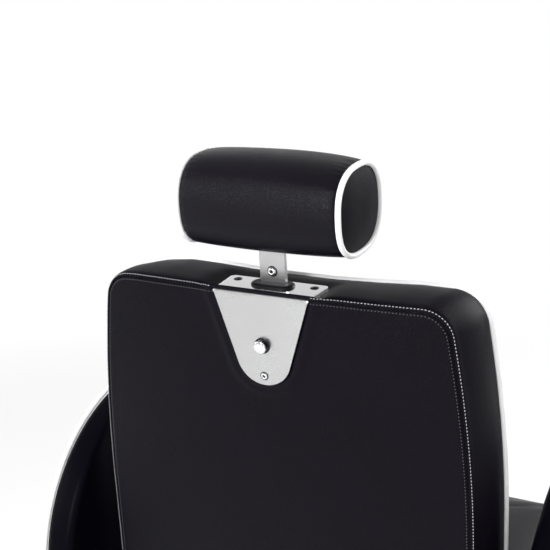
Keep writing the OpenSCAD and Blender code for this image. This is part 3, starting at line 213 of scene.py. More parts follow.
def metalMaterial(name, colour, rough, line=0.0, stretch=(1.0, 1.0, 0.02), smudge=0.06):
    # the roughness is a smudge plus line times the brushing, which also stands up as a faint bump
    material, tree, shader = newMaterial(name, colour, rough, 1.0)
    lines = placeGroup(tree, brushing, Stretch=stretch)
    rubs = placeGroup(tree, wear, Amount=0.3, Scale=50.0)
    tree.links.new(varied(tree, colour, lines["Cloud"], 0.03), shader.inputs["Base Color"])
    base = ramp(tree, rubs["Smudge"], 0.35, 0.75, rough, rough + smudge)
    streak = math2(tree, "MULTIPLY_ADD", lines["Line"], line, base)
    tree.links.new(math2(tree, "MULTIPLY_ADD", rubs["Mask"], 0.012, streak), shader.inputs["Roughness"])
    if line:
        addBump(tree, shader, lines["Line"], 0.05, 0.00002)
    return material


def coatMaterial(name, colour, rough, bumpScale=900.0, bump=0.15, bare=None, specular=0.5):
    # paint, plastic, thread or rubber: an even skin with a fine texture, rubbed through to bare in specks
    material, tree, shader = newMaterial(name, colour, rough, specular=specular)
    rubs = placeGroup(tree, wear, Amount=0.35 if bare else 0.2, Scale=45.0)
    skin = varied(tree, colour, rubs["Smudge"], 0.18)
    if bare:
        share = math2(tree, "MULTIPLY", rubs["Mask"], 0.5)
        kind = dict(data_type="RGBA")
        skin = addNode(tree, "ShaderNodeMix", kind, i0=share, i6=skin, i7=(*bare, 1)).outputs[2]
    tree.links.new(skin, shader.inputs["Base Color"])
    gloss = ramp(tree, rubs["Smudge"], 0.3, 0.7, rough - 0.06, rough + 0.08)
    tree.links.new(gloss, shader.inputs["Roughness"])
    addBump(tree, shader, noise(tree, objectCoords(tree), bumpScale), bump, 0.0002)
    return material


def woodMaterial(name, colour):
    # plies: noise squeezed twenty times as tightly along the height
    material, tree, shader = newMaterial(name, colour, 0.6)
    veins = noise(tree, vectorMath(tree, "MULTIPLY", objectCoords(tree), (6.0, 6.0, 120.0)), 6.0, 4.0, 0.6)
    shade = mixColour(tree, ramp(tree, veins, 0.35, 0.65), [c * 0.7 for c in colour], colour)
    tree.links.new(shade, shader.inputs["Base Color"])
    addBump(tree, shader, veins, 0.2, 0.0003)
    return material


# leather: colour, roughness, grain scale, creases, bump height, gloss
blackLeather = leatherMaterial("blackLeather", (0.0050, 0.0042, 0.0072), 0.35, 620.0, 1.0, 0.8, 0.14)
bandLeather = leatherMaterial("bandLeather", (0.0050, 0.0042, 0.0072), 0.36, 620.0, 0.9, 0.7, 0.03)
# the next four are the same black leather made darker for the rear panel, the bolster, its ends and the arms'
# inner faces: painted shade
panelLeatherShade = leatherMaterial("panelLeatherShade", (0.0034, 0.0026, 0.0056), 0.30, 620.0, 1.2, 0.9, 0.075)
bolsterLeatherShade = leatherMaterial("bolsterLeatherShade", (0.0040, 0.0032, 0.0064), 0.31, 600.0, 1.1, 0.9, 0.12)
endLeatherShade = leatherMaterial("endLeatherShade", (0.0038, 0.0030, 0.0060), 0.36, 560.0, 0.9, 0.6, 0.02)
sideLeatherShade = leatherMaterial("sideLeatherShade", (0.0016, 0.0013, 0.0034), 0.35, specular=0.03)
whitePiping = leatherMaterial("whitePiping", (0.86, 0.86, 0.87), 0.42, 800.0, 0.2, 0.12)

# metal: colour, roughness, brushing, its stretch along each axis, smudge
polishedSteel = metalMaterial("polishedSteel", (0.505, 0.505, 0.51), 0.24, 0.05, (0.02, 1.0, 1.0), 0.05)
# the flange's steel is much lighter than the plate's own: painted reflection of a bright studio on the
# flange's top
flangeSheenSteel = metalMaterial("flangeSheenSteel", (0.95, 0.95, 0.955), 0.13, 0.03, (1.0, 0.02, 1.0), 0.03)
brushedBar = metalMaterial("brushedBar", (0.50, 0.50, 0.505), 0.26, 0.12, (1.0, 1.0, 0.02), 0.05)
mirrorChrome = metalMaterial("mirrorChrome", (0.78, 0.78, 0.80), 0.05)
# a near-black steel: painted shade and painted dark reflection on the button's rim and barrel, the plate
# screws' heads and the rings round the screw heads
paintedShadeSteel = metalMaterial("paintedShadeSteel", (0.05, 0.05, 0.055), 0.25, smudge=0.1)
zincSteel = metalMaterial("zincSteel", (0.50, 0.50, 0.51), 0.30, 0.08, (1.0, 1.0, 0.1), 0.1)
bronze = metalMaterial("bronze", (0.55, 0.36, 0.16), 0.3, 0.1, (1.0, 1.0, 0.1), 0.1)

# paint, plastic, thread and rubber: colour, roughness, texture scale, bump height
greyThread = coatMaterial("greyThread", (0.44, 0.44, 0.46), 0.7, 2400.0, 0.6)
darkThread = coatMaterial("darkThread", (0.12, 0.12, 0.13), 0.7, 2400.0, 0.6)
blackPaint = coatMaterial("blackPaint", (0.022, 0.022, 0.025), 0.42, 700.0, 0.2, bare=(0.12, 0.12, 0.12))
castPaint = coatMaterial("castPaint", (0.035, 0.035, 0.038), 0.55, 260.0, 0.5, bare=(0.12, 0.11, 0.10))
blackRubber = coatMaterial("blackRubber", (0.016, 0.016, 0.018), 0.68, 520.0, 0.4)
blackPlastic = coatMaterial("blackPlastic", (0.006, 0.006, 0.008), 0.40, 1100.0, 0.2, specular=0.15)
plywood = woodMaterial("plywood", (0.46, 0.31, 0.17))
stainedPlywood = woodMaterial("stainedPlywood", (0.020, 0.018, 0.017))

slotLook = dict(cast_plate=castPaint, chrome=mirrorChrome, stainless=polishedSteel, black_steel=blackPaint,
                fastener=zincSteel, black_leather=blackLeather, white_piping=whitePiping, plywood=plywood,
                rubber=blackRubber, black_plastic=blackPlastic, bronze=bronze)
boards = dict.fromkeys(("seat_board", "calf_board", "arm_board_left", "arm_board_right"), stainedPlywood)
nodeLook = dict(boards, headrest_bar=brushedBar, footplate=polishedSteel, pump_bolts=zincSteel)
for part in frame["record"]["subparts"]:
    looks = frame["nodes"][part["node"]].data.materials
    looks.clear()
    looks.append(nodeLook.get(part["node"], slotLook[part["material_slot"]]))
print("materials made and placed on the solids")


def gridFaces(rows, columns, closeColumns=True):
    # quads between neighbouring rows of a grid, wound so that they face away from the rows' inside
    steps = columns if closeColumns else columns - 1
    i, j = np.meshgrid(np.arange(rows - 1), np.arange(steps), indexing="ij")
    k = (j + 1) % columns
    near, far = i * columns, (i + 1) * columns
    return np.stack([near + j, near + k, far + k, far + j], axis=-1).reshape(-1, 4)


def meshFrom(name, points, quads, tris=None):
    # puts whole arrays of points, quads and triangles into a smooth mesh
    mesh = bpy.data.meshes.new(name)
    tris = np.zeros((0, 3), int) if tris is None else tris
    mesh.vertices.add(len(points))
    mesh.vertices.foreach_set("co", np.ascontiguousarray(points, np.float32).ravel())
    corners = np.concatenate([quads.ravel(), tris.ravel()]).astype(np.int32)
    sizes = np.concatenate([np.full(len(quads), 4), np.full(len(tris), 3)])
    mesh.loops.add(len(corners))
    mesh.loops.foreach_set("vertex_index", corners)
    mesh.polygons.add(len(sizes))
    mesh.polygons.foreach_set("loop_start", np.concatenate([[0], np.cumsum(sizes)[:-1]]).astype(np.int32))
    mesh.polygons.foreach_set("use_smooth", np.ones(len(sizes), bool))
    mesh.update(calc_edges=True)
    mesh.validate()
    piece = bpy.data.objects.new(name, mesh)
    bpy.context.scene.collection.objects.link(piece)
    return piece


columnsOf = {}                                          # how many points each ring of a piece has


def ringStack(name, rings, first=None, last=None):
    # rings is (rows, columns, 3); first and last are the points that close its two ends with fans
    rows, columns = rings.shape[:2]
    columnsOf[name] = columns
    points, tris = rings.reshape(-1, 3), []
    j = np.arange(columns)
    k = (j + 1) % columns
    if first is not None:
        points = np.vstack([points, first])
        tris.append(np.stack([np.full(columns, len(points) - 1), k, j], axis=-1))
    if last is not None:
        points = np.vstack([points, last])
        row = (rows - 1) * columns
        tris.append(np.stack([np.full(columns, len(points) - 1), row + j, row + k], axis=-1))
    return meshFrom(name, points, gridFaces(rows, columns), np.concatenate(tris) if tris else None)


def coordsOf(piece):
    co = np.zeros(len(piece.data.vertices) * 3)
    piece.data.vertices.foreach_get("co", co)
    return co.reshape(-1, 3)


def outward(piece):
    # turns a closed mesh's faces out if its signed volume is negative
    mesh, co = piece.data, coordsOf(piece)
    mesh.calc_loop_triangles()
    tri = np.zeros(len(mesh.loop_triangles) * 3, int)
    mesh.loop_triangles.foreach_get("vertices", tri)
    a, b, c = (co[tri.reshape(-1, 3)[:, n]] for n in range(3))
    if np.einsum("ij,ij->i", a, np.cross(b, c)).sum() < 0:
        mesh.flip_normals()
    return piece


def tube(name, path, radius, up):
    # a round cord: each point of the closed path carries a circle of the given radius,
    # square to the path; up is a direction that is never along it
    along = np.roll(path, -1, 0) - np.roll(path, 1, 0)
    along /= np.linalg.norm(along, axis=1, keepdims=True)
    side = np.cross(along, np.broadcast_to(up, path.shape))
    side /= np.linalg.norm(side, axis=1, keepdims=True)
    lift = np.cross(side, along)
    a = np.linspace(0, 2 * pi, 12, endpoint=False)[None, :, None]
    rings = path[:, None] + radius * (np.cos(a) * side[:, None] + np.sin(a) * lift[:, None])
    quads = gridFaces(len(path) + 1, 12) % (len(path) * 12)
    return outward(meshFrom(name, rings.reshape(-1, 3), quads))


def resample(path, count):
    # count points, evenly spaced along a closed path
    loop = np.vstack([path, path[:1]])
    s = np.concatenate([[0], np.cumsum(np.linalg.norm(np.diff(loop, axis=0), axis=1))])
    at = np.linspace(0, s[-1], count, endpoint=False)
    return np.stack([np.interp(at, s, loop[:, n]) for n in range(3)], axis=-1)


def dress(piece, material, body, replaces=()):
    # gives a piece its finish, its body and what it stands for
    piece.data.materials.clear()
    piece.data.materials.append(material)
    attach(piece, body)
    if replaces:
        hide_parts(*replaces)
    return piece


def rowSpan(rows, first, last):
    # row numbers may count back from the end, and no last row means the end
    return first % rows, rows - 1 if last is None else last % rows


def paintRows(piece, material, first, last):
    # gives the faces between two rows of a closed ring stack another material,
    # with the fan at an end that they reach
    columns = columnsOf[piece.name]
    index = np.zeros(len(piece.data.polygons), np.int32)
    piece.data.polygons.foreach_get("material_index", index)
    rows = len(index) // columns - 1
    first, last = rowSpan(rows, first, last)
    number = len(piece.data.materials)
    piece.data.materials.append(material)
    index[first * columns:last * columns] = number
    if first == 0:
        index[-2 * columns:-columns] = number
    if last == rows - 1:
        index[-columns:] = number
    piece.data.polygons.foreach_set("material_index", index)


def inflate(piece, swell, hold=None, pressure=4.0, frames=20):
    # cloth under pressure, pinned at hold and everywhere but in the rows of swell,
    # a list of (first row, last row, cap in mm);
    # a point's movement m becomes cap * tanh(m / cap), so that it eases up to its cap
    columns, before = columnsOf[piece.name], coordsOf(piece)
    rows = len(before) // columns
    cap = np.zeros(len(before))
    for first, last, most in swell:
        first, last = rowSpan(rows, first, last)
        cap[first * columns:(last + 1) * columns] = most * mm
        if last == rows - 1:
            cap[-1] = most * mm
        if first == 0:
            cap[-2] = most * mm
    if hold is not None:
        cap[:hold.size][hold.ravel()] = 0
    group = piece.vertex_groups.new(name="pinned")
    group.add(np.nonzero(cap == 0)[0].tolist(), 1.0, "REPLACE")
    cloth = piece.modifiers.new("cloth", "CLOTH")
    settings = cloth.settings
    settings.quality = 5
    settings.use_pressure = True
    settings.uniform_pressure_force = pressure
    settings.tension_stiffness = settings.compression_stiffness = 20
    settings.bending_stiffness = 4
    settings.vertex_group_mass = "pinned"
    settings.effector_weights.gravity = 0
    cloth.point_cache.frame_start, cloth.point_cache.frame_end = 1, frames
    for number in range(1, frames + 1):
        bpy.context.scene.frame_set(number)
    shaped = piece.evaluated_get(bpy.context.evaluated_depsgraph_get())
    move = coordsOf(shaped) - before
    piece.modifiers.remove(cloth)
    piece.vertex_groups.remove(group)
    bpy.context.scene.frame_set(1)
    size = np.linalg.norm(move, axis=1)
    eased = cap * np.tanh(size / np.maximum(cap, 1e-9))
    co = before + move * (eased / np.maximum(size, 1e-9))[:, None]
    piece.data.vertices.foreach_set("co", np.ascontiguousarray(co, np.float32).ravel())
    piece.data.update()
    print(piece.name, "swelled by up to", round(float(eased.max()) / mm, 1), "mm")


def roundedRing(width, depth, corner, count=8, straight=10):
    # a rounded rectangle in the plane: four quarter circles joined by straight runs, counter-clockwise
    x, y = width / 2 - corner, depth / 2 - corner
    a = np.linspace(0, pi / 2, count)
    loop = [np.stack([cx + corner * np.cos(a + turn), cy + corner * np.sin(a + turn)], axis=-1)
            for cx, cy, turn in ((x, y, 0), (-x, y, pi / 2), (-x, -y, pi), (x, -y, 1.5 * pi))]
    out = []
    for n in range(4):
        out.append(loop[n])
        start, end = loop[n][-1], loop[(n + 1) % 4][0]
        t = np.linspace(0, 1, straight + 2)[1:-1, None]
        out.append(start + (end - start) * t)
    return np.vstack(out)


def stitchRow(name, path, normal, length, gap, radius, material, body):
    # short raised threads along a path, lengths in mm: each is a bent capsule of 5 rings by 6 sides
    length, gap, radius = length * mm, gap * mm, radius * mm
    s = np.concatenate([[0], np.cumsum(np.linalg.norm(np.diff(path, axis=0), axis=1))])
    count = int(s[-1] / (length + gap))
    mid = (np.arange(count) + 0.5) * s[-1] / count

    def sample(values, at):
        return np.stack([np.interp(at, s, values[:, n]) for n in range(3)], axis=-1)

    centre = sample(path, mid)
    along = sample(path, np.minimum(mid + length / 2, s[-1])) - sample(path, np.maximum(mid - length / 2, 0))
    along /= np.linalg.norm(along, axis=1, keepdims=True)
    out = sample(normal, mid)
    out -= along * np.einsum("ij,ij->i", out, along)[:, None]
    out /= np.linalg.norm(out, axis=1, keepdims=True)
    side = np.cross(along, out)
    t = np.array([-0.5, -0.34, 0, 0.34, 0.5]) * length
    thick = np.array([0.35, 0.9, 1.0, 0.9, 0.35]) * radius
    rise = np.array([-0.9, -0.1, 0.35, -0.1, -0.9]) * radius
    a = np.linspace(0, 2 * pi, 6, endpoint=False)
    rings = (centre[:, None, None] + along[:, None, None] * t[None, :, None, None]
             + out[:, None, None] * (rise[:, None] + thick[:, None] * np.sin(a))[None, :, :, None]
             + side[:, None, None] * (thick[:, None] * np.cos(a))[None, :, :, None])
    ends = np.array([[0, 1, 2, 3], [0, 3, 4, 5]])
    one = np.vstack([gridFaces(5, 6), ends[:, ::-1], ends + 24])
    every = (one[None] + (np.arange(count) * 30)[:, None, None]).reshape(-1, 4)
    dress(outward(meshFrom(name, rings.reshape(-1, 3), every)), material, body)


def pipe(name, path, radius, up, body, replaces=()):
    # white piping, its radius in mm
    dress(tube(name, path, radius * mm, up), whitePiping, body, replaces)


# the back, in mm; its skin's rows count from the rear panel's middle to the front's middle,
# and swell gives the rows that the cloth moves and its cap
back = dict(halfWidth=265.5, taper=22, flare=15.5, drop=13, rise=5, shoulder=40, foot=36, length=530,
            middle=-262, wideBelow=-300, panelCrown=8, seamInset=5.5, drawnIn=2.5, pucker=0.22, piping=4.0,
            panelStitchRow=65, seamRow=68, bandRow=72, pipingRow=91, swell=((76, 89, 2.0), (94, None, 8.0)))


def backSide(v):
    # half width of the rear face at height v: straight below wideBelow, drawn in by taper at the shoulder
    top, low = back["rise"] - back["shoulder"], back["wideBelow"]
    return back["halfWidth"] - back["taper"] * (np.maximum(0, v - low) / (top - low)) ** 2


def backRing(depthShare, inset):
    # the back's outline at one depth: foot corner, side, shoulder and half the top, then mirrored
    grow = back["flare"] * depthShare - inset
    top = back["rise"] - back["drop"] * depthShare - inset
    slope = math.atan(2 * back["taper"] / (back["rise"] - back["shoulder"] - back["wideBelow"]))
    r = max(6, back["shoulder"] - inset)
    foot, footR = -back["length"] + inset, max(6, back["foot"] - inset)
    v0 = top - r * (1 - math.sin(slope))
    a = np.linspace(-pi / 2, 0, 14)
    cornerX, cornerY = backSide(foot) + grow - footR, foot + footR
    corner = np.stack([cornerX + footR * np.cos(a), cornerY + footR * np.sin(a)], -1)
    v = np.linspace(foot + footR, v0, 74)[1:-1]
    side = np.stack([backSide(v) + grow, v], -1)
    a = np.linspace(slope, pi / 2, 22)
    cx = float(backSide(v0)) + grow - r * math.cos(slope)
    shoulder = np.stack([cx + r * np.cos(a), v0 - r * math.sin(slope) + r * np.sin(a)], -1)
    x = np.linspace(shoulder[-1, 0], 0, 44)[1:-1]
    half = np.vstack([corner, side, shoulder, np.stack([x, np.full_like(x, top)], -1)])
    x = np.linspace(0, corner[0, 0], 40)[:-1]
    bottom = np.stack([x, np.full_like(x, foot)], -1)
    return np.vstack([half, [[0, top]], half[::-1] * (-1, 1),
                      bottom[::-1][:-1] * (-1, 1), bottom[:1], bottom[1:]])


def panelDepth(u, v):
    # the rear panel falls away from the plate: panelCrown times the share of the half width raised to 2.6,
    # and 2 mm more at the top corners
    side = np.clip(np.abs(u) / 255, 0, 1.1)
    high = np.clip((v + 300) / 300, 0, 1)
    return -back["panelCrown"] * side ** 2.6 - 2.0 * side ** 5 * high ** 2


plate = dict(thick=2.2, width=132, flange=52, widen=6, drop=120, tip=38, bend=2.6, cornerR=7, stand=0.6)
dropFace = plate["stand"] + plate["thick"]
flangeHalf = plate["width"] / 2 + plate["widen"] / 2


def plateOutline(count=60):
    # the drop's half outline: straight from the bend's corner to its tangent on the round tip
    a, c, r = plate["width"] / 2, -(plate["drop"] - plate["tip"]), plate["tip"]
    d = math.hypot(a, c)
    turn = math.atan2(c, -a) + math.asin(r / d)
    long = math.sqrt(d * d - r * r)
    tangent = np.array([a + long * math.cos(turn), long * math.sin(turn)])
    start = math.atan2(tangent[1] - c, tangent[0])
    t = np.linspace(start, -pi / 2, count // 2)
    arc = np.stack([r * np.cos(t), c + r * np.sin(t)], -1)
    line = np.array([a, 0]) + (tangent - [a, 0]) * np.linspace(0, 1, count // 2)[:, None]
    return np.vstack([line[:-1], arc])


def distanceTo(path, points):
    # distance from each point to an open polyline in the plane
    a, b = path[:-1], path[1:]
    ab = b - a
    t = np.clip(np.einsum("pij,ij->pi", points[:, None] - a[None], ab) / (ab ** 2).sum(1), 0, 1)
    return np.linalg.norm(points[:, None] - a[None] - t[..., None] * ab[None], axis=2).min(1)


def widthOfDrop(v):
    # half width of the drop at height v, and none past its ends
    outline = plateOutline()
    return np.interp(-v, -outline[:, 1], outline[:, 0], right=0)


def topSwell(u, share):
    # how the padding's top edge rises beside the plate and falls off towards the shoulders: the rise between
    # the knots, times share / 0.85, less up to 2.2 mm past u = 185
    knots = [-262, -246, -219, -177, -119, -60, 0, 60, 110, 150, 194, 224, 250, 268]
    rise = [2, 4.5, 6, 6, 2.5, 0, 0, 1.5, 4, 5, 0, -9, -13, -14]
    return np.interp(u, knots, rise) * np.clip(share, 0, 1) / 0.85 - 2.2 * np.clip((u - 185) / 50, 0, 1)


def buildBack():
    # one closed skin: rings from the rear panel's middle, over the seam, round the boxing,
    # into the front piping's seam and over the front to its middle
    seam = back["seamInset"]
    centre = np.array([0.0, back["middle"]])

    def onPanel(uv, fall=0.0):
        return uv, panelDepth(uv[:, 0], uv[:, 1]) + fall

    base = backRing(0, seam + 3)
    rows = [onPanel(centre + (base - centre) * k)
            for k in np.concatenate([np.linspace(0.03, 0.90, 58), np.linspace(0.915, 0.985, 7)])]
    for inset, fall in ((3, 0), (1.6, -0.5), (0.7, -1.7), (0, -3.2), (-0.7, -2.3), (-1.6, -1.3),
                        (-2.8, -1.5), (-4.0, -2.3), (-5.0, -3.7), (-5.8, -5.8), (-6.4, -8.8)):
        rows.append(onPanel(backRing(0.08, seam + inset), fall))
    start = rows[-1][1]
    for t in np.linspace(0, 1, 15)[1:]:
        ring = backRing(0.08 + (0.83 - 0.08) * t, -0.9 - 2.6 * math.sin(pi * t) - 2.0 * t)
        rows.append((ring, start + (-86 - start) * t))
    for share, inset, w in ((0.84, -1.4, -87.6), (0.845, 2.0, -89.6), (0.86, 4.6, -91.5), (0.9, 4.4, -94.0)):
        rows.append((backRing(share, inset), w))
    front = backRing(1.0, 9)
    for k in np.concatenate([[1.0, 0.985, 0.965, 0.94], np.linspace(0.9, 0.04, 30)]):
        rows.append((centre + (front - centre) * k, -98.0 - 6.0 * (1 - k ** 2.2) ** 0.6 - 3.0 * (1 - k ** 2)))
    u, v = np.array([r[0] for r in rows]).transpose(2, 0, 1)
    w = np.array([np.broadcast_to(r[1], u.shape[1]) for r in rows])
    high = np.clip((v + 60) / 50, 0, 1)
    u = u - back["drawnIn"] * np.clip((v + 430) / 180, 0, 1) * np.clip(u / 250, 0, 1) ** 4
    return u, w, v + topSwell(u, -w / 100) * high * high * (3 - 2 * high)


def dipRoundPlate(u, w, v):
    # the leather sinks under the plate and swells in a soft lip beside it, by bell curves of the distance
    outline = plateOutline()
    both = np.vstack([outline, (outline[::-1] * (-1, 1))[1:]])
    rearSide = (w > -30) & (v > -175) & (np.abs(u) < 130)
    p = np.stack([u[rearSide], v[rearSide]], -1)
    d = distanceTo(both, p) * np.where(np.abs(p[:, 0]) < widthOfDrop(p[:, 1]), -1, 1)
    off = np.maximum(d, 0)
    lip = -1.3 * np.exp(-(off / 1.6) ** 2) + 2.3 * np.exp(-((d - 9) / 6.5) ** 2) * (d > 0)
    flat = -w[rearSide]
    w = w.copy()
    w[rearSide] += np.where(d < 0, -1.3 + flat * 0.9, lip + np.exp(-(off / 14) ** 2) * flat * 0.55)
    # on top the flange's bed: a shallow tray with a lip round the flange
    top = (v > -22) & (w < -2) & (w > -84) & (np.abs(u) < 120)
    outside = np.hypot(np.maximum(np.abs(u[top]) - flangeHalf, 0), np.maximum(-plate["flange"] - w[top], 0))
    v = v.copy()
    v[top] += np.where(outside < 0.01, -(v[top] + 1.6) * 0.98, -(v[top] + 0.6) * np.exp(-(outside / 15) ** 2))
    return u, w, v


def puckers(u, v, phase=3):
    # soft waves that run off the seam: two sines of the distance along each ring
    step = [np.diff(q, axis=1, prepend=q[:, :1]) for q in (u, v)]
    s = np.cumsum(np.hypot(*step), axis=1)
    return np.sin(s / 9.5 + 1.3 * np.sin(s / 37.0 + phase)) * 0.5 + np.sin(s / 23.0 + phase) * 0.5


u, w, v = dipRoundPlate(*buildBack())
rowsFromSeam = np.abs(np.arange(len(u)) - back["seamRow"])[:, None]
w = w + back["pucker"] * puckers(u, v) * np.exp(-(rowsFromSeam / 5.0) ** 2)
poles = [fromBack(0, depth, back["middle"]) for depth in (panelDepth(0, back["middle"]), -107)]
backSkin = outward(ringStack("backCover", fromBack(u, w, v), *poles))
nearFlange = (np.abs(u) < 100) & (v > -30) & (w > -88)
inflate(backSkin, back["swell"], nearFlange)
backRings = coordsOf(backSkin)[:-2].reshape(*u.shape, 3)
dress(backSkin, blackLeather, "back", ["back_panel", "back_cushion"])
# the rear panel takes a darker copy of the leather: painted shade
paintRows(backSkin, panelLeatherShade, 0, back["bandRow"])
paintRows(backSkin, bandLeather, back["bandRow"], back["pipingRow"])
print("back cover made")

# piping round the front edge, and two rows of stitches beside the rear seam
ring = backRing(0.885, -1.6)
ring[:, 1] += topSwell(ring[:, 0], 0.9) * np.clip((ring[:, 1] + 60) / 50, 0, 1)
pipe("backPiping", resample(fromBack(ring[:, 0], -91.8, ring[:, 1]), 420), back["piping"], offBack, "back",
     ["back_piping"])


def seamLine(row, lift):
    # the points of one ring of the cover, raised by lift, with the directions that stand off it
    before, c, after = backRings[row - 1:row + 2]
    n = np.cross(np.roll(c, -1, 0) - np.roll(c, 1, 0), after - before)
    n /= np.linalg.norm(n, axis=1, keepdims=True)
    n *= np.sign(n @ offBack)[:, None]
    return c + n * lift * mm, n


def openAtPlate(path, normal):
    # starts the row behind the plate and leaves out what the plate covers, which lies above the height upper
    upper, covered = 0.9, 66.5 * mm
    order = np.argsort(np.abs(path[:, 0]) + 10 * (path[:, 2] < upper))[0]
    path, normal = np.roll(path, -order, 0), np.roll(normal, -order, 0)
    keep = ~((np.abs(path[:, 0]) < covered) & (path[:, 2] > upper))
    return path[keep], normal[keep]


for name, row, look, length, gap in (("seamStitches", "bandRow", greyThread, 2.7, 1.6),
                                     ("panelStitches", "panelStitchRow", darkThread, 1.4, 2.9)):
    stitchRow(name, *openAtPlate(*seamLine(back[row], 0.15)), length, gap, 0.55, look, "back")
print("back seams made")

# the headrest's bolster, in mm; square below 1 makes its section squarer, and lift raises one end's top
bolster = dict(width=220, height=112, depth=125, centreV=100, centreW=-58, crownTop=7.5, crownLow=2.5,
               crownSide=3.5,
               endSwell=4.0, square=0.8, piping=3.6, lift=4.5, bodyRows=(21, -23), pucker=0.45,
               swell=((0, 16, 2.0), (24, -25, 2.0), (-17, None, 2.0)))
ringAngles = np.linspace(0, 2 * pi, 144, endpoint=False)


def bolsterRing(grow):
    # a squared oval: depth and height as the cosine and sine raised to the power "square"
    c, s = np.cos(ringAngles), np.sin(ringAngles)
    q = bolster["square"]
    return np.stack([np.sign(c) * np.abs(c) ** q * (bolster["depth"] / 2 + grow),
                     np.sign(s) * np.abs(s) ** q * (bolster["height"] / 2 + grow)], -1)


def lifted(x, ring):
    # the stuffing stands a little higher at one end: the top rises by lift * (x / half width) squared
    along, up = np.clip(2 * x / bolster["width"], 0, 1), np.clip(2 * ring[:, 1] / bolster["height"], 0, 1)
    rise = bolster["lift"] * along ** 2 * up ** 2
    return ring + np.stack([0 * rise, rise], -1)


def buildBolster():
    # rings from one end's middle out to its seam, along the swollen body, and in to the other end's middle
    half = bolster["width"] / 2
    ends = [(half + bolster["endSwell"] * (1 - k ** 2.5) - 1.0, bolsterRing(-5.4) * k)
            for k in np.concatenate([np.linspace(0.04, 0.88, 16), [0.93, 0.965, 0.985]])]
    ends += [(half - inset, bolsterRing(grow))
             for inset, grow in ((1.2, -5.2), (2.6, -5.4), (4.6, -4.2), (6.0, -1.6))]
    rows = [(-x, ring) for x, ring in ends]
    for t in np.linspace(-1, 1, 33):
        ring = bolsterRing(-0.6 * t ** 8)
        up = np.clip(ring[:, 1] / (bolster["height"] / 2), -1, 1)
        swell = (1 - t ** 2) ** 0.8 if abs(t) < 1 else 0.0
        ring[:, 1] += swell * np.where(up > 0, bolster["crownTop"], bolster["crownLow"]) * up
        ring[:, 0] += swell * bolster["crownSide"] * ring[:, 0] / (bolster["depth"] / 2)
        rows.append((t * (half - 7.5), ring))
    rows += ends[::-1]
    x = np.array([np.full(len(ringAngles), r[0]) for r in rows])
    ring = np.array([lifted(*r) for r in rows])
    # slight puckers where the body meets its end seams: a wave of the angle that fades with the distance
    near = np.exp(-((half - 6 - np.abs(x)) / 9.0) ** 2) * (np.abs(x) < half - 3)
    wave = bolster["pucker"] * near * np.sin(ringAngles * 34 + 2 * np.sin(ringAngles * 5))
    ring = ring * (1 + wave / 60)[..., None]
    return fromBack(x, bolster["centreW"] + ring[..., 0], bolster["centreV"] + ring[..., 1])


poleU = bolster["width"] / 2 + bolster["endSwell"] - 1.0
poles = [fromBack(s * poleU, bolster["centreW"], bolster["centreV"]) for s in (-1, 1)]
bolsterSkin = outward(ringStack("bolster", buildBolster(), *poles))
inflate(bolsterSkin, bolster["swell"])
# the bolster's ends and body take darker copies of the leather: painted shade
dress(bolsterSkin, endLeatherShade, "headrest", ["headrest_cushion"])
paintRows(bolsterSkin, bolsterLeatherShade, *bolster["bodyRows"])
for s, label, nodes in ((-1, "Right", ["headrest_piping"]), (1, "Left", [])):
    loop = lifted(s * bolster["width"] / 2, bolsterRing(-2.6))
    path = fromBack(s * (bolster["width"] / 2 - 1.0),
                    bolster["centreW"] + loop[:, 0], bolster["centreV"] + loop[:, 1])
    pipe("bolsterPiping" + label, resample(path, 220), bolster["piping"], (1.0, 0, 0), "headrest", nodes)
print("headrest made")


def buildPlate():
    # a profile (the flange, a round bend, the drop) with a half width at each step; across it a straight line
    b, flange, r = plate["bend"], plate["flange"], plate["cornerR"]
    half = plate["width"] / 2
    start = r - flange                                  # where the flange's round corners end
    steps = [(start - r * math.sin(a), 0.0, flangeHalf - r * (1 - math.cos(a)))      # (w, v, half width)
             for a in np.linspace(pi / 2, 0, 9)]
    for w in start + (dropFace - b - start) * np.linspace(0, 1, 12)[1:]:
        steps.append((w, 0.0, flangeHalf + (half - flangeHalf) * (w + flange) / (flange + dropFace)))
    for a in np.linspace(0, pi / 2, 9)[1:]:
        steps.append((dropFace - b + b * math.sin(a), -b + b * math.cos(a), half))
    outline = plateOutline(80)
    for x, y in outline[outline[:, 1] < -b - 1]:
        steps.append((dropFace, y, max(x, 0.25)))
    w, v, width = np.array(steps).T[..., None]
    across = np.linspace(-1, 1, 41)
    across = np.sign(across) * np.abs(across) ** 0.9
    points = fromBack(width * across, w, v).reshape(-1, 3)
    piece = meshFrom("latchPlate", points, gridFaces(len(steps), 41, False))
    shell = piece.modifiers.new("wall", "SOLIDIFY")
    shell.thickness, shell.offset = plate["thick"] * mm, -1
    edge = piece.modifiers.new("edge", "BEVEL")
    edge.width, edge.segments, edge.limit_method, edge.angle_limit = 0.45 * mm, 2, "ANGLE", math.radians(50)
    return piece


latchPlate = buildPlate()
normals = np.zeros(len(latchPlate.data.polygons) * 3)
latchPlate.data.polygons.foreach_get("normal", normals)
upward = normals.reshape(-1, 3)[:, 2]
if upward[:400].mean() < 0:
    latchPlate.data.flip_normals()
dress(latchPlate, polishedSteel, "back", ["headrest_plate"])
# the faces that point up or down, on the flange, take the lighter steel: painted reflection
latchPlate.data.materials.append(flangeSheenSteel)
latchPlate.data.polygons.foreach_set("material_index", (np.abs(upward) > 0.9).astype(np.int32))


def turned(name, profile, place, material, body, replaces=(), sides=48):
    # a profile of (radius, height) turned about its axis; place turns (a, b, height) into the chair's frame
    a = np.linspace(0, 2 * pi, sides, endpoint=False)
    r, h = np.array(profile, float).T[..., None]
    rings = place(r * np.cos(a), r * np.sin(a), h)
    piece = ringStack(name, rings, place(0.0, 0.0, h[0, 0]), place(0.0, 0.0, h[-1, 0]))
    dress(outward(piece), material, body, replaces)


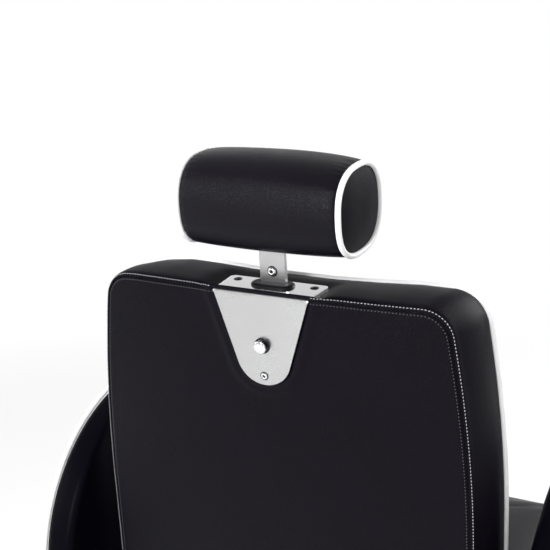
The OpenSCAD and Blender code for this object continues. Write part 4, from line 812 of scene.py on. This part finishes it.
def onDrop(v, base=0):
    return lambda a, b, h: fromBack(a, base + h, -v + b)


def onFlange(u, w):
    return lambda a, b, h: fromBack(u + a, w + b, h)


def onBar(a, b, h):
    return fromBack(a, -33.5 + h, 18 + b)


# the push button, in mm: its distance below the plate's edge, three radii and two heights over the back's face
button = dict(place=67, rim=10.4, neck=6.4, barrel=8.5, low=7.9, top=12.3)
rim, neck, barrel, low, top = (button[key] for key in ("rim", "neck", "barrel", "low", "top"))
onButton = onDrop(button["place"])
rimProfile = [(r, dropFace + h) for r, h in ((8.2, -1), (9.8, -0.3), (rim, 0.3), (rim, 1.2), (10.1, 1.6),
                                             (9.6, 1.7), (9.0, 1.4), (8.9, 0.05), (6.6, -0.1))]
shadeNeckProfile = [(3, -8.2), (neck, -8.0), (neck, low + 0.2), (3, low + 0.4)]
barrelProfile = [(3, low), (barrel - 0.3, low), (barrel, low + 0.3), (barrel, top - 2.4),
                 (barrel - 0.15, top - 2.0), (3, top - 1.6)]
faceProfile = [(3, top - 2.2)]
faceProfile += [(barrel - 1.9 + 1.95 * math.cos(q), top - 2.2 + 1.75 * math.sin(q))
                for q in np.linspace(0, 1.35, 8)]
faceProfile += [(r, top - 0.42 * (r / 6.5) ** 2) for r in (5.2, 3.6, 2.0, 0.6)]
# only the button's face is chrome: its rim, its black neck and its barrel are dark, painted shade and painted
# dark reflection on its sides
turned("buttonRim", rimProfile, onButton, paintedShadeSteel, "back", ["button_bush"])
turned("buttonShadeNeck", shadeNeckProfile, onButton, blackPlastic, "button", [])
turned("buttonBarrel", barrelProfile, onButton, paintedShadeSteel, "button", ["release_button"])
turned("buttonFace", faceProfile, onButton, mirrorChrome, "button", [])


def buildScrew(name, r, height, socket, place):
    # a button head with a six-sided socket: rings blend from round to hexagon as they go in
    a = np.linspace(0, 2 * pi, 48, endpoint=False)
    hexagon = math.cos(pi / 6) / np.cos((a + pi / 6) % (pi / 3) - pi / 6)
    rows = [(r * share, height * up, 0)
            for share, up in ((0.985, 0.34), (0.93, 0.60), (0.80, 0.86), (0.66, 0.97))]
    rows = [(r * 0.99, -0.6, 0), (r, 0.25, 0)] + rows + [
        (socket * 1.32, height, 0), (socket * 1.22, height - 0.05, 0.6), (socket * 1.1, height - 0.5, 1),
        (socket * 1.06, height - 2.2, 1), (socket * 0.4, height - 2.5, 0.5)]
    r, h, share = np.array(rows).T[..., None]
    r = r * (1 - share + share * hexagon)
    rings = place(r * np.cos(a), r * np.sin(a), h)
    return outward(ringStack(name, rings, place(0.0, 0.0, -0.6), place(0.0, 0.0, height - 2.6)))


# the two plate screws' heads are near-black steel: painted dark reflection; the tip and bar screws are chrome
for label, r, height, socket, place, look, body, nodes in (
        ("plateScrewLeft", 4.6, 1.2, 2.2, onFlange(54, -40), paintedShadeSteel, "back", []),
        ("plateScrewRight", 4.6, 1.2, 2.2, onFlange(-54, -40), paintedShadeSteel, "back", []),
        ("tipScrew", 4.6, 2.2, 2.0, onDrop(108, dropFace), mirrorChrome, "back", ["plate_screws"]),
        ("barScrew", 5.9, 3.6, 2.2, onBar, mirrorChrome, "headrest", ["bar_screws"])):
    dress(buildScrew(label, r, height, socket, place), look, body, nodes)
    # a dark ring round the head, flat and a little proud of the metal: painted shade of the gap round the
    # head; and the socket's dark floor: painted shade in its depth
    shadeRingProfile = [(r - 0.5, -0.5), (r + 0.9, -0.5), (r + 1.1, 0.25), (r + 0.8, 0.5), (r, 0.5), (r - 0.5, 0)]
    turned(label + "Seat", shadeRingProfile, place, paintedShadeSteel, body)
    wide = socket * 1.1
    socketShadeProfile = [(0.2, height - 1.5), (wide, height - 1.5), (wide, height - 1.8), (0.2, height - 1.9)]
    turned(label + "Socket", socketShadeProfile, place, blackPlastic, body, sides=24)


def buildCollar():
    # an obround collar: rings of one outline, let in and raised, then down into the bar's slot
    def obround(grow):
        a = np.linspace(-pi / 2, pi / 2, 24)
        right = np.stack([15 + (14 + grow) * np.cos(a), (14 + grow) * np.sin(a)], -1)
        return np.vstack([right, -right]) + (0, -33)

    def slot(grow):
        return np.roll(roundedRing(35.8 + 2 * grow, 6.8 + 2 * grow, 0.9 + grow, 12, 0), -36, 0) + (0, -36.5)

    rows = [(obround(grow), h) for grow, h in ((0.3, -2.5), (0.4, -0.5), (0.3, 1.4), (-0.4, 2.4), (-1.5, 3.2),
                                               (-3.0, 3.6), (-5.0, 3.7))]
    rows += [(slot(grow), h) for grow, h in ((1.6, 3.7), (0.7, 3.5), (0.2, 3.0), (0.2, -2.5))]
    loops = np.array([r[0] for r in rows])
    h = np.array([r[1] for r in rows])[:, None]
    return outward(ringStack("barCollar", fromBack(loops[..., 0], loops[..., 1], h)))


dress(buildCollar(), blackPlastic, "back", ["bar_grommet"])
print("plate, button, screws and collar made")


# the seat, in mm; the lower and the upper seam carry piping
seat = dict(width=600, depth=468, corner=60, middleY=-51, low=388, high=530, seamLow=408, seamTop=500,
            piping=4.0, swell=((27, 36, 3.0), (45, None, 10.0)))


def seatRing(inset, count=16, straight=26):
    corner = max(8, seat["corner"] - inset)
    loop = roundedRing(seat["width"] - 2 * inset, seat["depth"] - 2 * inset, corner, count, straight)
    return loop + [0, seat["middleY"]]


def padStack(name, rows, place, middle, crown):
    # rows is a list of (loop, height), closed over the middle at the first height and at the crown's
    loops = np.array([r[0] for r in rows])
    heights = np.array([r[1] for r in rows])[:, None]
    poles = [place(0.0, middle, height) for height in (rows[0][1], crown)]
    return outward(ringStack(name, place(loops[..., 0], loops[..., 1], heights), *poles))


def seatRows():
    # from the underside's middle, up the boxing past two seams, over the rounded edge to the top's middle;
    # the top is high - 6 + 6 * (1 - k^2.4)^0.8, where k is the share of the way out to its edge
    mid, low, high = np.array([0, seat["middleY"]]), seat["low"], seat["high"]
    seamLow, seamTop = seat["seamLow"], seat["seamTop"]
    rows = [(mid + (seatRing(10) - mid) * k, low + 1.2) for k in np.linspace(0.05, 0.98, 16)]
    rows += [(seatRing(9), low + 1.6), (seatRing(5), low + 4), (seatRing(2.0), low + 9)]
    seam = ((1.4, -7.5), (2.2, -5.2), (4.6, -3.6), (5.4, -2.2),
            (5.4, 2.2), (4.6, 3.6), (2.2, 5.2), (1.4, 7.5))
    rows += [(seatRing(inset), seamLow + up) for inset, up in seam]
    rows += [(seatRing(1.4 - 1.2 * math.sin(pi * t)), seamLow + 8 + (seamTop - seamLow - 16) * t)
             for t in np.linspace(0, 1, 12)[1:-1]]
    rows += [(seatRing(inset), seamTop + up) for inset, up in seam]
    top = seamTop + 7.5
    rows += [(seatRing(1.6 + 22 * (1 - math.cos(a))), top + (high - top - 6) * math.sin(a))
             for a in np.linspace(0, pi / 2, 9)[1:]]
    inner = seatRing(23.6)
    rows += [(mid + (inner - mid) * k, high - 6 + 6.0 * (1 - k ** 2.4) ** 0.8)
             for k in np.linspace(0.97, 0.04, 34)]
    return rows


seatSkin = padStack("seatCover", seatRows(), fromWorld, seat["middleY"], seat["high"])
inflate(seatSkin, seat["swell"])
dress(seatSkin, blackLeather, "seat", ["seat_cushion"])
for label, height, nodes in (("Low", "seamLow", ["seat_piping"]), ("Top", "seamTop", [])):
    loop = seatRing(1.3, 24, 60)
    path = resample(fromWorld(loop[:, 0], loop[:, 1], seat[height]), 320)
    pipe("seatPiping" + label, path, seat["piping"], (0, 0, 1.0), "seat", nodes)
loop = seatRing(4.5, 24, 60)
loop = np.vstack([loop, loop[:1]])
path = fromWorld(loop[:, 0], loop[:, 1], seat["seamTop"] + 11.2)
stitchRow("seatStitches", path, (path - path[:-1].mean(0)) * (1, 1, 0), 3.1, 1.2, 0.42, greyThread, "seat")
print("seat cover made")

# the arms, in mm: a stadium whose half circles stand at front and rear
arm = dict(inner=324, outer=372, front=5, rear=105, height=535, radius=245, piping=4.0, outerRow=35,
           swell=((0, 17, 4.0), (37, None, 3.0)))


def armRing(grow, count=48, straight=18):
    # two half circles joined by straight runs along y
    r = arm["radius"] + grow
    a = np.linspace(-pi / 2, pi / 2, count)
    arc = np.stack([r * np.cos(a), r * np.sin(a)], -1)
    rear, front = arc + (arm["rear"], arm["height"]), -arc + (arm["front"], arm["height"])
    t = np.linspace(0, 1, straight + 2)[1:-1, None]
    upper, lower = rear[-1] + (front[0] - rear[-1]) * t, front[-1] + (rear[0] - front[-1]) * t
    return np.vstack([rear, upper, front, lower])


def buildArm(name, side):
    # rings from the inner face's middle, round the edge, to the outer face's middle; each face bulges by
    # 1.5 or 1.8 * (1 - k^4), where k is the share of the way out to its edge
    mid = np.array([(arm["front"] + arm["rear"]) / 2, arm["height"]])
    inner, outer = arm["inner"], arm["outer"]
    rows = [(mid + (armRing(-12) - mid) * k, inner - 1.5 * (1 - k ** 4)) for k in np.linspace(0.04, 0.95, 18)]
    rows += [(armRing(-11 + 10.5 * math.sin(a)), inner + 11 * (1 - math.cos(a)))
             for a in np.linspace(0, pi / 2, 6)]
    rows += [(armRing(-0.5 + 0.4 * math.sin(pi * t)), inner + 11 + 22 * t) for t in np.linspace(0, 1, 6)[1:]]
    rows += [(armRing(grow), outer - under)
             for grow, under in ((-1.2, 10.5), (-3.4, 8.6), (-5.2, 7.0),
                                 (-6.2, 4.6), (-7.6, 2.2), (-9.5, 0.8))]
    rows += [(mid + (armRing(-11.5) - mid) * k, outer - 0.4 + 1.8 * (1 - k ** 4))
             for k in np.concatenate([[0.995], np.linspace(0.97, 0.04, 20)])]
    loops = np.array([r[0] for r in rows])
    x = np.array([r[1] for r in rows])[:, None] * side
    poles = [fromWorld(side * edge, *mid) for edge in (inner - 1.5, outer + 1.4)]
    return outward(ringStack(name, fromWorld(x, loops[..., 0], loops[..., 1]), *poles))


for side, label, node in ((1, "Left", "left"), (-1, "Right", "right")):
    skin = buildArm("armCover" + label, side)
    inflate(skin, arm["swell"])
    # the inner faces and edges take a much darker copy of the leather, painted shade; the outer faces the
    # black leather
    dress(skin, sideLeatherShade, "seat", ["arm_pad_" + node])
    paintRows(skin, blackLeather, arm["outerRow"], None)
    loop = armRing(-1.0, 90, 30)
    path = resample(fromWorld(side * (arm["outer"] - 1.6), loop[:, 0], loop[:, 1]), 400)
    pipe("armPiping" + label, path, arm["piping"], (1.0, 0, 0), "seat", ["arm_piping_" + node])
print("arm covers made")

# the calf pad, in mm, in the legrest's frame
calf = dict(width=430, height=175, down=112.5, rear=30, front=80, corner=34, seam=58, piping=4.0,
            swell=((22, None, 7.0),))


def calfRing(grow, count=14, straight=18):
    corner = max(8, calf["corner"] + grow)
    loop = roundedRing(calf["width"] + 2 * grow, calf["height"] + 2 * grow, corner, count, straight)
    return loop + [0, calf["down"]]


def onLeg(a, b, h):
    return fromLeg(a, h, b)


def calfRows():
    # from the rear face's middle, round the boxing past its seam, to the crowned front's middle;
    # the front is front - 5 + 5 * (1 - k^2.2)^0.8, where k is the share of the way out to its edge
    mid, rear, front, seam = np.array([0, calf["down"]]), calf["rear"], calf["front"], calf["seam"]
    rows = [(mid + (calfRing(-3) - mid) * k, rear + 0.8) for k in np.linspace(0.05, 0.99, 9)]
    rows += [(calfRing(-1.5), rear + 1.6), (calfRing(-0.4), rear + 4)]
    rows += [(calfRing(-0.2), rear + 4 + 16 * t) for t in (0.33, 0.66, 1.0)]
    rows += [(calfRing(grow), seam + up)
             for grow, up in ((-1.4, -7.0), (-2.4, -5.0), (-4.8, -3.5), (-5.6, -2.0),
                              (-5.6, 2.0), (-4.8, 3.5), (-2.4, 5.0), (-1.4, 7.0))]
    top = seam + 7.0
    rows += [(calfRing(-1.6 - 15 * (1 - math.cos(a))), top + (front - top - 5) * math.sin(a))
             for a in np.linspace(0, pi / 2, 7)[1:]]
    inner = calfRing(-16.6)
    rows += [(mid + (inner - mid) * k, front - 5 + 5.0 * (1 - k ** 2.2) ** 0.8)
             for k in np.linspace(0.96, 0.05, 22)]
    return rows


calfSkin = padStack("calfCover", calfRows(), onLeg, calf["down"], calf["front"])
inflate(calfSkin, calf["swell"])
dress(calfSkin, blackLeather, "legrest", ["calf_pad"])
loop = calfRing(-1.2, 20, 50)
path = resample(fromLeg(loop[:, 0], calf["seam"], loop[:, 1]), 260)
pipe("calfPiping", path, calf["piping"], fromLeg(0, 1, 0) - fromLeg(0, 0, 0), "legrest", ["calf_piping"])
print("calf cover made")


def makeFloor():
    # a flat disc that reaches far past the view; far from the chair it glows as white as the backdrop
    a = np.linspace(0, 2 * pi, 97)[:-1]
    low = -0.0006
    rings = np.array([np.stack([r * np.cos(a), r * np.sin(a), np.full_like(a, low)], -1)
                      for r in np.geomspace(0.2, 60, 22)])
    piece = ringStack("floor", rings, (0, 0, low))
    if piece.data.polygons[0].normal.z < 0:
        piece.data.flip_normals()
    material, tree, shader = newMaterial("paleFloor", (0.86, 0.86, 0.86), 0.75, specular=0.1)
    reach = addNode(tree, "ShaderNodeVectorMath", dict(operation="LENGTH"), i0=objectCoords(tree))
    glow = addNode(tree, "ShaderNodeEmission", Color=(1, 1, 1, 1), Strength=1.0)
    rays = addNode(tree, "ShaderNodeLightPath").outputs["Is Camera Ray"]
    share = math2(tree, "MULTIPLY", rays, ramp(tree, reach.outputs["Value"], 1.1, 3.2))
    mix = addNode(tree, "ShaderNodeMixShader", i0=share, i1=shader.outputs[0], i2=glow.outputs[0])
    tree.links.new(mix.outputs[0], tree.nodes["Material Output"].inputs["Surface"])
    piece.data.materials.append(material)


makeFloor()

# the backdrop: white to the camera, even light on the chair, and to gloss a sky that darkens upwards
world = bpy.data.worlds.new("studio")
world.use_nodes = True
bpy.context.scene.world = world
sky = world.node_tree
sky.nodes.clear()
rays = addNode(sky, "ShaderNodeLightPath").outputs
seen = math2(sky, "MAXIMUM", rays["Is Camera Ray"], rays["Is Transmission Ray"])
aim = addNode(sky, "ShaderNodeTexCoord").outputs["Generated"]
height = addNode(sky, "ShaderNodeSeparateXYZ", Vector=aim).outputs["Z"]
shine = math2(sky, "MULTIPLY", rays["Is Glossy Ray"], ramp(sky, height, 0.30, 0.75, 0.86, 0.18))
strength = math2(sky, "MAXIMUM", math2(sky, "MAXIMUM", seen, shine), 0.56)
backdrop = addNode(sky, "ShaderNodeBackground", Color=(1, 1, 1, 1), Strength=strength)
sky.links.new(backdrop.outputs[0], addNode(sky, "ShaderNodeOutputWorld").inputs["Surface"])


def placeObject(name, data, place, away):
    # a lamp or a camera looks along its own -z, so its z points away from what it looks at
    piece = bpy.data.objects.new(name, data)
    bpy.context.scene.collection.objects.link(piece)
    piece.location = place
    piece.rotation_euler = Vector(away).to_track_quat("Z", "Y").to_euler()
    return piece


def areaLight(name, place, target, size, power):
    light = bpy.data.lights.new(name, "AREA")
    light.shape, light.size, light.energy = "SQUARE", size, power
    return placeObject(name, light, place, Vector(place) - Vector(target))


areaLight("keyLight", (0.8, 0.9, 3.6), (0, 0.2, 0.8), 2.4, 40).visible_glossy = False
areaLight("cameraSideLight", (-2.6, 3.4, 2.0), (0, 0.3, 0.9), 2.0, 15)
areaLight("rearLight", (0.3, 3.4, 1.8), (0, 0.3, 0.9), 0.9, 62)
areaLight("sideLight", (3.0, 2.2, 1.6), (0, 0.2, 0.8), 1.8, 26)
areaLight("frontLight", (-1.8, -2.8, 2.2), (0, 0.2, 1.0), 2.2, 105)

# the camera: its place in metres, the direction away from what it looks at, its lens and sensor in mm
view = dict(place=(-0.6264, 1.4904, 1.3169), away=(-0.4608, 0.8594, 0.2215), lens=71.66, sensor=36)
camera = bpy.data.cameras.new("camera")
camera.lens, camera.sensor_width = view["lens"], view["sensor"]
bpy.context.scene.camera = placeObject("camera", camera, view["place"], view["away"])
bpy.context.scene.view_settings.view_transform = "Standard"
